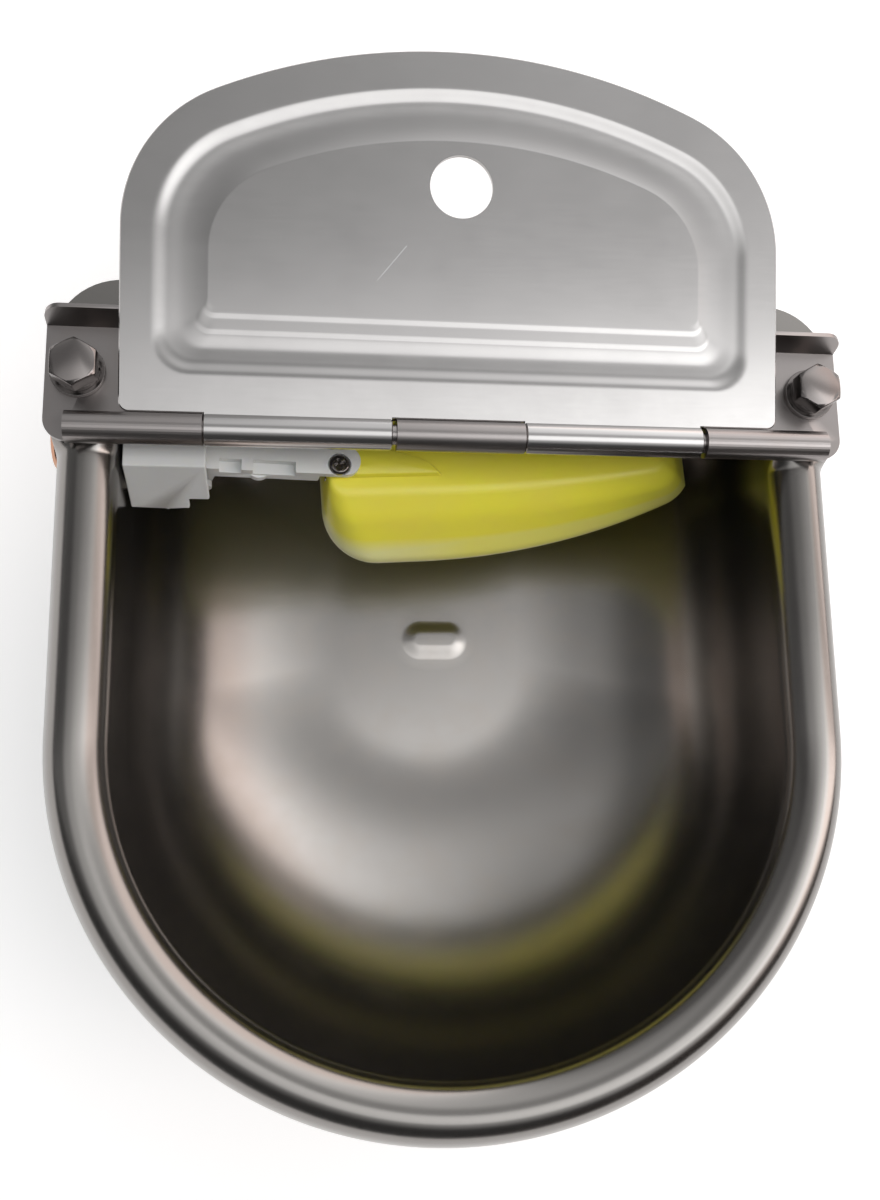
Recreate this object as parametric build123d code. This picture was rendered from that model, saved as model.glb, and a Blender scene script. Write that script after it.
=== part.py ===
"""Livestock drinking bowl with a hinged guard flap and a float valve.

Lengths are millimetres.  Every piece is drawn in the hinge frame: +X to the right, +Y towards
the wall that the bowl hangs on, +Z up, with zero on the hinge axis at the middle of the bowl.
place() then moves it to the row frame, whose zero is the middle of the two wall bolt holes on
the back face of the bowl.
"""
from build123d import *
import math
import os

# ---------------------------------------------------------------- bowl
bowl_sheet = 1.2            # stainless sheet of the drawn bowl
inner_half_width = 101.0    # centre line to the inside of the side wall
front_reach = 183.9         # hinge axis to the inside of the front wall
front_ratio = 0.95          # depth of the front arc over the half width
wall_behind_hinge = 48.0    # hinge axis to the back face of the bowl
bowl_depth = 95.0           # hinge axis down to the floor
floor_half_width = 35.0     # flat part of the floor, at the sides
floor_front = 88.9          # hinge axis to the front of the flat floor
floor_back = 12.8           # hinge axis to the back of the flat floor
side_straight = 42.0        # hinge axis down to where the side wall starts to curve
rear_straight = 55.0        # the same for the back wall
rear_corner_r = 19.0        # inside corner between back and side walls
floor_corner_r = 25.0       # the same corner at the floor
form_rings = 7              # steps of the loft from the end of the straight side wall to the floor
lip_width = 19.0            # side wall to the outer edge of the rolled lip
lip_inner_r = 9.0           # roll from the wall up to the crest
lip_drop = 15.0             # crest down to the outer edge
lip_leg = 2.25              # straight wall between the lip's roll and the drawn part
lip_steps = 4               # straight steps in each quarter of the roll
lip_end_y = -6.0            # where the rolled lip stops, in front of the hinge
ledge_start_y = 2.0         # where the flat ledge begins
ledge_bend_r = 1.6          # bend between the wall and the ledge
ledge_corner_r = 20.0       # outer back corner of each ledge
pocket_length = 24.0        # oblong recess in the floor
pocket_width = 13.5
pocket_depth = 3.0
pocket_slope = 2.2          # its wall, measured flat
pocket_x = 2.5
pocket_y = -47.9
wall_hole_d = 9.0
wall_hole_spacing = 120.0
wall_hole_drop = 30.0       # hinge axis down to the wall bolts

# ---------------------------------------------------------------- hinge and bridge plate
leaf_sheet = 1.5
pin_d = 6.2
running_play = 0.05         # radial play of every shaft and plunger in its bore
pin_chamfer = 0.5
plate_overhang = 1.5        # bridge plate past the lip's outer edge
knuckle_inset = 7.2         # plate's end to the end of the row of knuckles
outer_knuckle = 38.8        # length of each outer knuckle
middle_knuckle = 38.4
tight_gap = 0.3             # end gap on the side that the flap is pushed to
wide_gap = 1.4              # end gap on its other side
knuckle_relief = 0.8        # leaf's edge to the other leaf's knuckles
bridge_depth = 33.0         # hinge axis to the fold
tab_width = 30.5            # each upright tab, along the fold
tab_height = 7.9            # tab's highest edge above the plate
tab_lean = 17.0             # degrees from upright
tab_corner_r = 5.0
plate_corner_r = 6.5
plate_front = 3.0           # how far the plate's ends reach in front of the axis

# ---------------------------------------------------------------- guard flap
flap_side_gap = 2.0         # flap's edge to the inside of the bowl's side wall
flap_height = 115.3
flap_corner_r = 45.0
flap_arc_r = 178.0
flap_rest_gap = 0.25        # flap to the tabs that it lies on
flap_edge_r = 3.0           # small corners beside the knuckles
border = 10.0               # flat border beside the dish
top_border = 11.8
dish_bottom = 17.0          # hinge axis to the dish
dish_corner_r = 34.0
dish_bottom_r = 10.0
dish_depth = 4.5
dish_step_depth = 3.7       # depth where the dish's wall turns shallower
dish_step = 11.7            # the wall down to there, measured flat
dish_slope = 14.0           # the whole wall, measured flat
dish_ramp = 5.0             # the shallow part along the hinge side
flap_hole_d = 19.0
flap_hole_x = 0.4
flap_hole_y = 75.0

# ---------------------------------------------------------------- fasteners of the bridge plate
bolt_d = 8.0
bolt_from_wall = 11.0       # inside of the side wall to the bolt
bolt_y = 17.8
bolt_length = 16.0
bolt_hole_play = 0.5        # radial
head_af = 13.0
head_h = 5.3
washer_od = 16.0
washer_t = 1.6
washer_play = 0.2           # radial
spring_od = 13.2
spring_t = 2.1
spring_slit = 0.8
slit_angle = 18.0
nut_h = 6.5
thread_play = 0.05          # radial gap drawn between any thread and what it screws into

# ---------------------------------------------------------------- water inlet
inlet_d = 20.96             # G1/2 thread, outside
inlet_core_d = 20.4         # where the stub passes through nut, wall and valve
inlet_bore = 14.0
inlet_chamfer = 1.2
inlet_y = 5.0
inlet_drop = 27.0           # hinge axis down to the stub
inlet_out = 20.3            # bowl's outside to the end of the stub
inlet_hole_play = 0.25      # radial, in the bowl's wall
gasket_od = 26.0
gasket_t = 1.0
locknut_af = 24.0
locknut_t = 5.0

# ---------------------------------------------------------------- valve
body_length = 15.0
body_front_y = -7.0
body_back_y = 17.2
body_edge_r = 3.0
socket_depth = 5.0          # stub in the body
flange_r = 7.0              # nozzle plate
flange_t = 1.2
nipple_r = 3.0
nipple_l = 1.5
orifice_d = 2.5
seal_r = 3.9
seal_t = 1.3
chamber_wall = 1.5          # room round the seal
chamber_end = 11.0          # gasket to the end of the wet chamber
plunger_r = 4.0
plunger_l = 5.8
plunger_chamfer = 0.5
valve_opening = 1.15        # nipple to seal with the float down
outlet_width = 5.0
outlet_margin = 0.6         # outlet slot to the ends of the chamber
cap_wall = 1.6
cap_gap = 0.3               # body's back to the cap
cap_length = 24.4           # from the inner gasket
cap_drop_top = 11.0         # hinge axis down to the cap's top
cap_height = 20.0
cap_front_top_y = -7.8
cap_front_low_y = -15.4
cap_step = 18.0             # gasket to the step in the lower edge
cap_step_height = 4.5
cap_nub = 11.2              # gasket to the nub under the lower edge
cap_nub_w = 2.2
cap_nub_h = 2.2

# ---------------------------------------------------------------- lever
pivot_along = 19.8          # inner gasket to the pivot
pivot_drop = 10.0           # plunger's axis down to the pivot
pivot_pin_d = 3.0
pivot_head_d = 5.0
pivot_head_t = 0.8
hub_r = 4.2
hub_front_y = -4.4
hub_back_y = 8.7
ear_t = 2.0
ear_gap = 0.3
ear_root = 2.0              # ear inside the body
rest_tilt = 5.0             # degrees that the arm hangs below level with no water
arm_top = 21.9              # above the pivot, with the arm level
arm_depth = 8.0
arm_front_y = -6.8
arm_back_y = 2.4
arm_start = 1.2             # pivot to the arm's root
arm_end = 37.4
arm_edge_r = 0.8
notch_depth = 3.4           # the two open notches in the arm's front
notch_back = 3.4            # their depth from front to back
notch_ends = ((6.3, 13.0), (16.5, 29.5))
boss_x = 18.4
boss_r = 3.9
boss_out = 0.8              # how far the boss stands out of the arm's front
boss_h = 3.0
tab_thickness = 3.0
tab_tip = 45.1              # centre of the tab's round end
neck_length = 5.0
neck_inset = 1.0            # neck's top below the arm's top
neck_t = 6.0
nose_gap = 0.3
nose_t = 3.0
nose_half = 3.2
nose_over = 1.0             # nose above the plunger's axis

# ---------------------------------------------------------------- float
screw_x = 43.1              # pivot to the screw
screw_y = -3.6
screw_d = 4.0
screw_hole_play = 0.15
screw_head_d = 6.4
screw_head_h = 1.9
screw_recess_d = 7.2
screw_recess = 1.2
screw_length = 12.0
recess_cut_l = 3.4          # cross recess
recess_cut_w = 0.9
recess_cut_d = 1.2
float_nut_af = 7.0
float_nut_h = 3.0
float_nut_down = 9.0        # below the seat
float_line_y = -1.65        # the float's own centre line at the screw
skew = 4.1                  # degrees that this line turns towards the back
float_left = -4.1           # from the screw, along the float
float_right = 127.8
float_straight = 28.0       # where the sides start to close in
float_top = 16.9            # heights above the pivot, with the arm level
float_shoulder = 12.0
float_beam = -3.0
float_chine = -12.0
float_bottom = -17.0
top_half, top_tip, top_corner, top_ends = 9.7, 4.6, 5.0, (1.0, 18.0)
shoulder_half, shoulder_tip, shoulder_corner, shoulder_ends = 17.4, 9.4, 9.0, (0.5, 11.0)
beam_half, beam_tip, beam_corner, beam_ends = 29.0, 11.6, 18.0, (0.0, 0.0)
chine_half, chine_tip, chine_corner, chine_ends = 26.0, 9.6, 16.0, (3.0, 4.0)
bottom_half, bottom_tip, bottom_corner, bottom_ends = 20.0, 6.5, 12.0, (9.0, 12.0)
seat_half = 4.5             # raised seat that the arm's tab lies on
seat_start = -2.0
seat_tip = 33.0
seat_point = 28.7
seat_back = 14.0
seat_sink = 1.0

# ---------------------------------------------------------------- worked out sizes
knuckle_r = pin_d / 2 + running_play + leaf_sheet
ledge_z = -knuckle_r                      # plate's underside and ledges, level with the knuckles' underside
plate_top = ledge_z + leaf_sheet
outer_half_width = inner_half_width + lip_width
rear_inside = wall_behind_hinge - bowl_sheet
form_top = ledge_z - lip_inner_r - lip_leg
floor_z = -bowl_depth
far = 2 * (front_reach + wall_behind_hinge)   # beyond everything
bridge_half_width = outer_half_width + plate_overhang
knuckle_span = bridge_half_width - knuckle_inset
outer_end = knuckle_span - outer_knuckle
middle_end = middle_knuckle / 2
shift = (wide_gap - tight_gap) / 2        # the flap sits this far to the left of centre
half_gap = (wide_gap + tight_gap) / 2
leaf_cut = knuckle_r + knuckle_relief
flap_half_width = inner_half_width - flap_side_gap
dish_half_width = flap_half_width - border
dish_top = flap_height - top_border
bolt_x = inner_half_width + bolt_from_wall
bolt_seat = plate_top + washer_t + spring_t
wall_in_x = -inner_half_width
wall_out_x = wall_in_x - bowl_sheet
inlet_z = -inlet_drop
body_x = wall_in_x + gasket_t
body_end_x = body_x + body_length
nozzle_x = body_x + socket_depth
seal_x = nozzle_x + flange_t + nipple_l + valve_opening
plunger_x = seal_x + seal_t
cap_top = -cap_drop_top
cap_low = cap_top - cap_height
pivot_x = body_x + pivot_along
pivot_z = inlet_z - pivot_drop
arm_low = arm_top - arm_depth
seat_top = arm_top - tab_thickness


def place(shape):
    """Move a piece from the hinge frame to the row frame."""
    return shape.moved(Location((0, -wall_behind_hinge, wall_hole_drop)))


def rod(radius, x0, x1, y, z):
    """A round bar along X between x0 and x1."""
    align = (Align.CENTER, Align.CENTER, Align.MIN)
    return Location((x0, y, z), (0, 90, 0)) * Cylinder(radius, x1 - x0, align=align)


def post(radius, z0, z1, x, y):
    """A round bar along Z between z0 and z1."""
    align = (Align.CENTER, Align.CENTER, Align.MIN)
    return Location((x, y, z0)) * Cylinder(radius, z1 - z0, align=align)


def axle(radius, y0, y1, x, z):
    """A round bar along Y between y0 and y1."""
    align = (Align.CENTER, Align.CENTER, Align.MIN)
    return Location((x, y1, z), (90, 0, 0)) * Cylinder(radius, y1 - y0, align=align)


def block(x0, x1, y0, y1, z0, z1):
    """A block from its six faces."""
    return Location(((x0 + x1) / 2, (y0 + y1) / 2, (z0 + z1) / 2)) * Box(x1 - x0, y1 - y0, z1 - z0)


def both_sides(make):
    """What make(sign) gives for the left and for the right."""
    return make(-1) + make(1)


# ---------------------------------------------------------------- bowl
def inset(z, start, end, flat):
    """How far a wall has come in at height z: a quarter ellipse between start and end."""
    s = min(max((start - z) / (start - end), 0.0), 1.0)
    return flat * (1 - math.sqrt(1 - s * s))


def u_face(z, grow):
    """The bowl's U shaped plan at height z, grown outwards by grow."""
    low = floor_z - grow if z < form_top else floor_z
    side_share = inset(z, -side_straight, low, 1.0)
    side = side_share * (inner_half_width - floor_half_width)
    front = inset(z, form_top, low, front_reach - floor_front)
    rear = inset(z, -rear_straight, low, rear_inside - floor_back)
    half = inner_half_width - side
    arc_y = -front_reach + front + front_ratio * half
    reach = front_ratio * half + grow
    corner = rear_corner_r + side_share * (floor_corner_r - rear_corner_r) + grow
    half += grow
    back = rear_inside - rear + grow
    edges = [
        EllipticalCenterArc((0, arc_y), half, reach, 180, arc_size=180),
        Line((half, arc_y), (half, back - corner)),
        CenterArc((half - corner, back - corner), corner, 0, 90),
        Line((half - corner, back), (corner - half, back)),
        CenterArc((corner - half, back - corner), corner, 90, 90),
        Line((-half, back - corner), (-half, arc_y)),
    ]
    return Location((0, 0, z)) * make_face(Curve() + edges)


def drawn_form(grow):
    """The drawn part as a solid, lofted through its plans from the lip down to the floor."""
    depth = form_top - floor_z + grow
    start = math.asin((form_top + side_straight) / depth)
    step = (math.pi / 2 - start) / form_rings
    angles = [0, start / 2] + [start + i * step for i in range(form_rings + 1)]
    return loft([u_face(form_top - depth * math.sin(a), grow) for a in angles], ruled=True)


def lip_strip(back, drop, inner_r):
    """Steps of one face of the lip's section, as (outwards, up), set back into the sheet by back."""
    quarter = [math.pi / 2 * i / lip_steps for i in range(lip_steps + 1)]
    round_r = inner_r - back
    wide = lip_width - inner_r - (back if drop else 0)
    fall = max(drop - back, 0)
    rise = [(inner_r - round_r * math.cos(a), ledge_z - inner_r + round_r * math.sin(a)) for a in quarter]
    roll = [(inner_r + wide * math.sin(a), ledge_z - back - fall * (1 - math.cos(a))) for a in quarter]
    return [(back, form_top)] + rise, roll


def lip():
    """The rolled lip round the sides and the front, with the wall that runs up into it."""
    inside, over = lip_strip(0, lip_drop, lip_inner_r)
    outside, under = lip_strip(bowl_sheet, lip_drop, lip_inner_r)

    def through(strip):
        return loft([u_face(z, grow) for grow, z in strip], ruled=True)

    roll = through(over[::-1]) - through(under[::-1])
    return (roll + through(outside) - through(inside)) & block(-far, far, -far, lip_end_y, -far, far)


def ledge():
    """The flat side ledges and the upper back wall."""
    wall = extrude(u_face(form_top, bowl_sheet) - u_face(form_top, 0), amount=ledge_z - form_top)
    length = 2 * (wall_behind_hinge - lip_end_y)
    outline = Rectangle(2 * outer_half_width, length)
    outline = fillet(outline.vertices().group_by(Axis.Y)[-1], ledge_corner_r)
    outline = Location((0, wall_behind_hinge - length / 2, ledge_z - bowl_sheet)) * outline
    inside = extrude(u_face(form_top, 0), amount=ledge_z - form_top)
    flat = extrude(outline, amount=bowl_sheet) - inside
    return (wall + flat) & block(-far, far, ledge_start_y, far, -far, far)


def ledge_end(sign):
    """Short stretch that turns the rolled lip into the flat ledge."""
    faces = []
    for y, drop, inner_r in ((lip_end_y, lip_drop, lip_inner_r), (ledge_start_y, 0, ledge_bend_r)):
        rise, roll = lip_strip(0, drop, inner_r)
        back_rise, back_roll = lip_strip(bowl_sheet, drop, inner_r)
        outline = rise + roll[1:] + back_roll[:0:-1] + back_rise[::-1]
        plane = Plane(origin=(inner_half_width, y, 0), x_dir=(1, 0, 0), z_dir=(0, -1, 0))
        faces.append(plane * make_face(Polyline(*outline, close=True)))
    piece = loft(faces, ruled=True)
    return piece if sign > 0 else mirror(piece, about=Plane.YZ)


def pocket(grow, top, low):
    """Tapered oblong plug for the recess in the floor."""
    faces = []
    for z, less in ((top, 0), (low, 2 * pocket_slope)):
        length = pocket_length + 2 * grow - less
        width = pocket_width + 2 * grow - less
        faces.append(Location((pocket_x, pocket_y, z)) * SlotOverall(length, width))
    return loft(faces, ruled=True)


def bowl():
    """Drawn stainless bowl with its lip, ledges, recess and holes."""
    half_sheet = bowl_sheet / 2
    shell = drawn_form(bowl_sheet) - drawn_form(0)
    shell += lip() + ledge() + both_sides(ledge_end)
    shell += pocket(bowl_sheet, floor_z - half_sheet, floor_z - pocket_depth - bowl_sheet)
    shell -= pocket(0, floor_z + half_sheet, floor_z - pocket_depth)
    hole_r = bolt_d / 2 + bolt_hole_play
    shell -= both_sides(lambda sign: post(hole_r, ledge_z - bolt_d, 0, sign * bolt_x, bolt_y))
    shell -= both_sides(lambda sign: axle(wall_hole_d / 2, rear_inside - bowl_sheet, far,
                                          sign * wall_hole_spacing / 2, -wall_hole_drop))
    return shell - rod(inlet_core_d / 2 + inlet_hole_play, -far, 0, inlet_y, inlet_z)


# ---------------------------------------------------------------- hinge
bridge_knuckles = [(-knuckle_span, -outer_end), (-middle_end, middle_end), (outer_end, knuckle_span)]
flap_knuckles = [(-outer_end, -middle_end), (middle_end, outer_end)]


def knuckles(spans, gap):
    """A row of rolled knuckles, each shorter than its span by gap at both ends."""
    row = [rod(knuckle_r, x0 + gap, x1 - gap, 0, 0) for x0, x1 in spans]
    return Part() + row


def pin_bore():
    """Bore of the whole row of knuckles."""
    return rod(pin_d / 2 + running_play, -far, far, 0, 0)


def tab_length():
    """Length of a tab's back face, from the plate's underside to the tip."""
    lean = math.radians(tab_lean)
    return (tab_height + leaf_sheet * (1 - math.sin(lean))) / math.cos(lean)


def tab(sign):
    """One upright tab at the end of the fold."""
    lean = math.radians(tab_lean)
    face = Rectangle(tab_width, tab_length(), align=(Align.MIN, Align.MIN))
    face = fillet(face.vertices().group_by(Axis.Y)[-1].sort_by(Axis.X)[-1], tab_corner_r)
    frame = Plane(origin=(bridge_half_width - tab_width, bridge_depth, ledge_z), x_dir=(1, 0, 0),
                  z_dir=(0, -math.cos(lean), math.sin(lean)))
    solid = extrude(frame * face, amount=leaf_sheet) & block(0, far, 0, far, ledge_z, far)
    return solid if sign > 0 else mirror(solid, about=Plane.YZ)


def bridge_plate():
    """Fixed hinge leaf over the back of the bowl, with its knuckles and upright tabs."""
    plan = Rectangle(2 * bridge_half_width, bridge_depth + plate_front)
    plan = fillet(plan.vertices().group_by(Axis.Y)[0], plate_corner_r)
    plan = Location((0, (bridge_depth - plate_front) / 2, ledge_z)) * plan
    plate = extrude(plan, amount=leaf_sheet)
    for x0, x1 in flap_knuckles:
        plate -= block(x0, x1, -far, leaf_cut, -far, far)
    for x0, x1 in bridge_knuckles:
        plate -= block(x0, x1, -far, 0, -far, far)
    plate += knuckles(bridge_knuckles, 0)
    plate += both_sides(tab)
    hole_r = bolt_d / 2 + bolt_hole_play
    plate -= both_sides(lambda sign: post(hole_r, ledge_z - bolt_d, bolt_d, sign * bolt_x, bolt_y))
    return plate - pin_bore()


def hinge_pin():
    """The hinge's pin, with chamfered ends."""
    pin = rod(pin_d / 2, -knuckle_span, knuckle_span, 0, 0)
    return chamfer(pin.edges().filter_by(GeomType.CIRCLE), pin_chamfer)


# ---------------------------------------------------------------- guard flap
def d_face(half, bottom, top, corner_r, arc_r, bottom_r):
    """A D shaped outline: straight sides, big top arc, rounded top and bottom corners."""
    centre_y = top - arc_r
    cx = half - corner_r
    cy = centre_y + math.sqrt((arc_r - corner_r) ** 2 - cx ** 2)
    lean = math.degrees(math.atan2(cx, cy - centre_y))
    edges = [
        Line((bottom_r - half, bottom), (half - bottom_r, bottom)),
        CenterArc((half - bottom_r, bottom + bottom_r), bottom_r, 270, 90),
        Line((half, bottom + bottom_r), (half, cy)),
        CenterArc((cx, cy), corner_r, 0, 90 - lean),
        CenterArc((0, centre_y), arc_r, 90 - lean, 2 * lean),
        CenterArc((-cx, cy), corner_r, 90 + lean, 90 - lean),
        Line((-half, cy), (-half, bottom + bottom_r)),
        CenterArc((bottom_r - half, bottom + bottom_r), bottom_r, 180, 90),
    ]
    return make_face(Curve() + edges)


def dish(top):
    """The pressed dish as a plug hanging from height top."""
    faces = []
    for depth, slope, ramp in ((0, 0, 0), (dish_step_depth, dish_step, 0), (dish_depth, dish_slope, dish_ramp)):
        bottom = dish_bottom + (dish_step + ramp if ramp else slope)
        corner = dish_corner_r - slope / 2
        arc_r = flap_arc_r - top_border - slope
        bottom_r = dish_bottom_r - slope / 2
        face = d_face(dish_half_width - slope, bottom, dish_top - slope, corner, arc_r, bottom_r)
        faces.append(Location((0, 0, top - depth)) * face)
    return loft(faces, ruled=True)


def rest_angle():
    """Angle above level at which the flap lies on the tabs' highest edges, in degrees."""
    lean = math.radians(tab_lean)
    top_y = bridge_depth + tab_length() * math.sin(lean) - leaf_sheet * math.cos(lean)
    top_z = plate_top + tab_height
    lift = (leaf_sheet / 2 + flap_rest_gap) / math.hypot(top_y, top_z)
    return math.degrees(math.atan2(top_z, top_y) + math.asin(lift))


def guard_flap():
    """Hinged guard: D shaped plate with a pressed dish, a hole and two knuckles."""
    outline = d_face(flap_half_width, leaf_cut, flap_height, flap_corner_r, flap_arc_r, flap_edge_r)
    for x0, x1 in flap_knuckles:
        strip = Rectangle(x1 - x0 - 2 * half_gap, leaf_cut + flap_edge_r, align=(Align.MIN, Align.MIN))
        outline += Location((x0 + half_gap, 0)) * strip
    half_leaf = leaf_sheet / 2
    plate = extrude(Location((0, 0, -half_leaf)) * outline, amount=leaf_sheet)
    plate = plate + dish(-half_leaf) - dish(half_leaf)
    plate += knuckles(flap_knuckles, half_gap)
    plate -= pin_bore()
    plate -= post(flap_hole_d / 2, -flap_hole_d, flap_hole_d, flap_hole_x, flap_hole_y)
    return Location((-shift, 0, 0), (rest_angle(), 0, 0)) * plate


# ---------------------------------------------------------------- fasteners
def hexagon(af, height):
    """A hexagonal prism with flats across X, standing on zero."""
    return extrude(RegularPolygon(af / 2, 6, major_radius=False, rotation=30), amount=height)


def hex_head(af, height):
    """A hexagon with its upper corners turned off at 30 degrees."""
    corner_r = af / math.sqrt(3)
    top_r = af / 2 - height / 20
    cone_r = top_r + height * math.sqrt(3)
    align = (Align.CENTER, Align.CENTER, Align.MIN)
    turned = Cone(cone_r, top_r, height, align=align) & Cylinder(corner_r, height, align=align)
    return hexagon(af, height) & turned


def bridge_bolt(sign):
    """A hexagon bolt through the bridge plate and the ledge."""
    head = Location((sign * bolt_x, bolt_y, bolt_seat)) * hex_head(head_af, head_h)
    return head + post(bolt_d / 2, bolt_seat - bolt_length, bolt_seat, sign * bolt_x, bolt_y)


def ring(outer_r, inner_r, low, thick, sign):
    """A flat ring round a bolt."""
    x = sign * bolt_x
    return post(outer_r, low, low + thick, x, bolt_y) - post(inner_r, low - 1, low + thick + 1, x, bolt_y)


def washer(low):
    """Flat washers round both bolts."""
    return both_sides(lambda sign: ring(washer_od / 2, bolt_d / 2 + washer_play, low, washer_t, sign))


def spring_washer(sign):
    """A split ring under a bolt's head."""
    low = plate_top + washer_t
    slit = Box(spring_od, spring_slit, 3 * spring_t, align=(Align.MIN, Align.CENTER, Align.CENTER))
    turn = Location((sign * bolt_x, bolt_y, low + spring_t / 2), (slit_angle, 0, 0))
    return ring(spring_od / 2, bolt_d / 2 + thread_play, low, spring_t, sign) - turn * slit


def bolt_nut(sign):
    """A nut under a ledge."""
    top = ledge_z - bowl_sheet - washer_t
    nut = Location((sign * bolt_x, bolt_y, top), (180, 0, 0)) * hex_head(head_af, nut_h)
    return nut - post(bolt_d / 2 + thread_play, top - nut_h - 1, top + 1, sign * bolt_x, bolt_y)


# ---------------------------------------------------------------- water inlet
def inlet_connector():
    """Brass stub that carries the water through the bowl's wall."""
    outer_end = wall_out_x - inlet_out
    nut_x = wall_out_x - gasket_t - locknut_t
    thread = rod(inlet_d / 2, outer_end, nut_x, inlet_y, inlet_z)
    thread = chamfer(thread.edges().filter_by(GeomType.CIRCLE).sort_by(Axis.X)[0], inlet_chamfer)
    stub = thread + rod(inlet_core_d / 2, nut_x, nozzle_x, inlet_y, inlet_z)
    return stub - rod(inlet_bore / 2, -far, far, inlet_y, inlet_z)


def inlet_ring(x0):
    """A flat gasket round the stub."""
    hole = rod(inlet_core_d / 2 + thread_play, -far, far, inlet_y, inlet_z)
    return rod(gasket_od / 2, x0, x0 + gasket_t, inlet_y, inlet_z) - hole


def inlet_locknut():
    """Brass nut that clamps the stub from outside."""
    nut = Location((wall_out_x - gasket_t, inlet_y, inlet_z), (0, -90, 0)) * hex_head(locknut_af, locknut_t)
    return nut - rod(inlet_core_d / 2 + thread_play, -far, far, inlet_y, inlet_z)


# ---------------------------------------------------------------- valve
def ear(y0):
    """An ear of the valve body that carries the lever's pin."""
    plate = block(body_end_x - ear_root, pivot_x, y0, y0 + ear_t, pivot_z - hub_r, pivot_z + hub_r)
    plate += axle(hub_r, y0, y0 + ear_t, pivot_x, pivot_z)
    return plate - axle(pivot_pin_d / 2 + thread_play, y0 - 1, y0 + ear_t + 1, pivot_x, pivot_z)


def valve_body():
    """Moulded body: socket for the stub, wet chamber, plunger guide, outlet and the lever's ears."""
    top = cap_top - cap_wall
    low = 2 * inlet_z - top
    body = block(body_x, body_end_x, body_front_y, body_back_y, low, top)
    body = fillet(body.edges().filter_by(Axis.X), body_edge_r)
    body -= rod(inlet_core_d / 2 + thread_play, -far, nozzle_x, inlet_y, inlet_z)
    body -= rod(flange_r + thread_play, -far, nozzle_x + flange_t, inlet_y, inlet_z)
    body -= rod(seal_r + chamber_wall, -far, body_x + chamber_end, inlet_y, inlet_z)
    body -= rod(plunger_r + running_play, -far, far, inlet_y, inlet_z)
    slot_start = nozzle_x + flange_t + outlet_margin
    slot_end = body_x + chamber_end - outlet_margin
    body -= block(slot_start, slot_end, inlet_y - outlet_width / 2, inlet_y + outlet_width / 2, low - 1, inlet_z)
    return body + ear(hub_front_y - ear_gap - ear_t) + ear(hub_back_y + ear_gap)


def valve_nozzle():
    """Plate with the nipple that the seal closes."""
    plate = rod(flange_r, nozzle_x, nozzle_x + flange_t, inlet_y, inlet_z)
    plate += rod(nipple_r, nozzle_x, nozzle_x + flange_t + nipple_l, inlet_y, inlet_z)
    return plate - rod(orifice_d / 2, -far, far, inlet_y, inlet_z)


def seal_disc():
    """Rubber face of the plunger."""
    return rod(seal_r, seal_x, seal_x + seal_t, inlet_y, inlet_z)


def valve_plunger():
    """Plunger that slides towards the nozzle as the float rises."""
    plunger = rod(plunger_r, plunger_x, plunger_x + plunger_l, inlet_y, inlet_z)
    return chamfer(plunger.edges().filter_by(GeomType.CIRCLE).sort_by(Axis.X)[-1], plunger_chamfer)


def valve_cap():
    """Moulded splash cap over the valve: flat top, sloping front, stepped lower edge."""
    run = (cap_front_low_y - cap_front_top_y) / cap_height
    skin = cap_wall * math.hypot(1, run)
    back = body_back_y + cap_gap + cap_wall
    inner_back = back - cap_wall
    inner_top = cap_top - cap_wall
    outside = Polyline((back, cap_top), (cap_front_top_y, cap_top), (cap_front_low_y, cap_low),
                       (back, cap_low), close=True)
    inside = Polyline((inner_back, inner_top), (cap_front_top_y + skin + run * cap_wall, inner_top),
                      (cap_front_low_y + skin + run, cap_low - 1), (inner_back, cap_low - 1), close=True)
    frame = Plane(origin=(body_x, 0, 0), x_dir=(0, 1, 0), z_dir=(1, 0, 0))
    cap = extrude(frame * make_face(outside), amount=cap_length)
    cap -= extrude(frame * make_face(inside), amount=cap_length)
    cap -= block(body_x + cap_step, far, -far, far, -far, cap_low + cap_step_height)
    cap -= block(-far, far, inlet_y, far, -far, inner_top)
    nub_x = body_x + cap_nub
    nub = Polyline((nub_x - cap_nub_w / 2, cap_low), (nub_x + cap_nub_w / 2, cap_low),
                   (nub_x, cap_low - cap_nub_h), close=True)
    nub_frame = Plane(origin=(0, cap_front_low_y + skin, 0), x_dir=(1, 0, 0), z_dir=(0, -1, 0))
    return cap + extrude(nub_frame * make_face(nub), amount=skin)


# ---------------------------------------------------------------- lever
def hang(shape):
    """Put a piece drawn on a level arm, with zero on the pivot, where the arm hangs at rest."""
    return Location((pivot_x, 0, pivot_z), (0, rest_tilt, 0)) * shape


def lever_pivot_pin():
    """Pin that the lever turns on, with a flat head outside the front ear."""
    front = hub_front_y - ear_gap - ear_t
    shank = axle(pivot_pin_d / 2, front, hub_back_y + ear_gap + ear_t, pivot_x, pivot_z)
    return shank + axle(pivot_head_d / 2, front - pivot_head_t, front, pivot_x, pivot_z)


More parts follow.
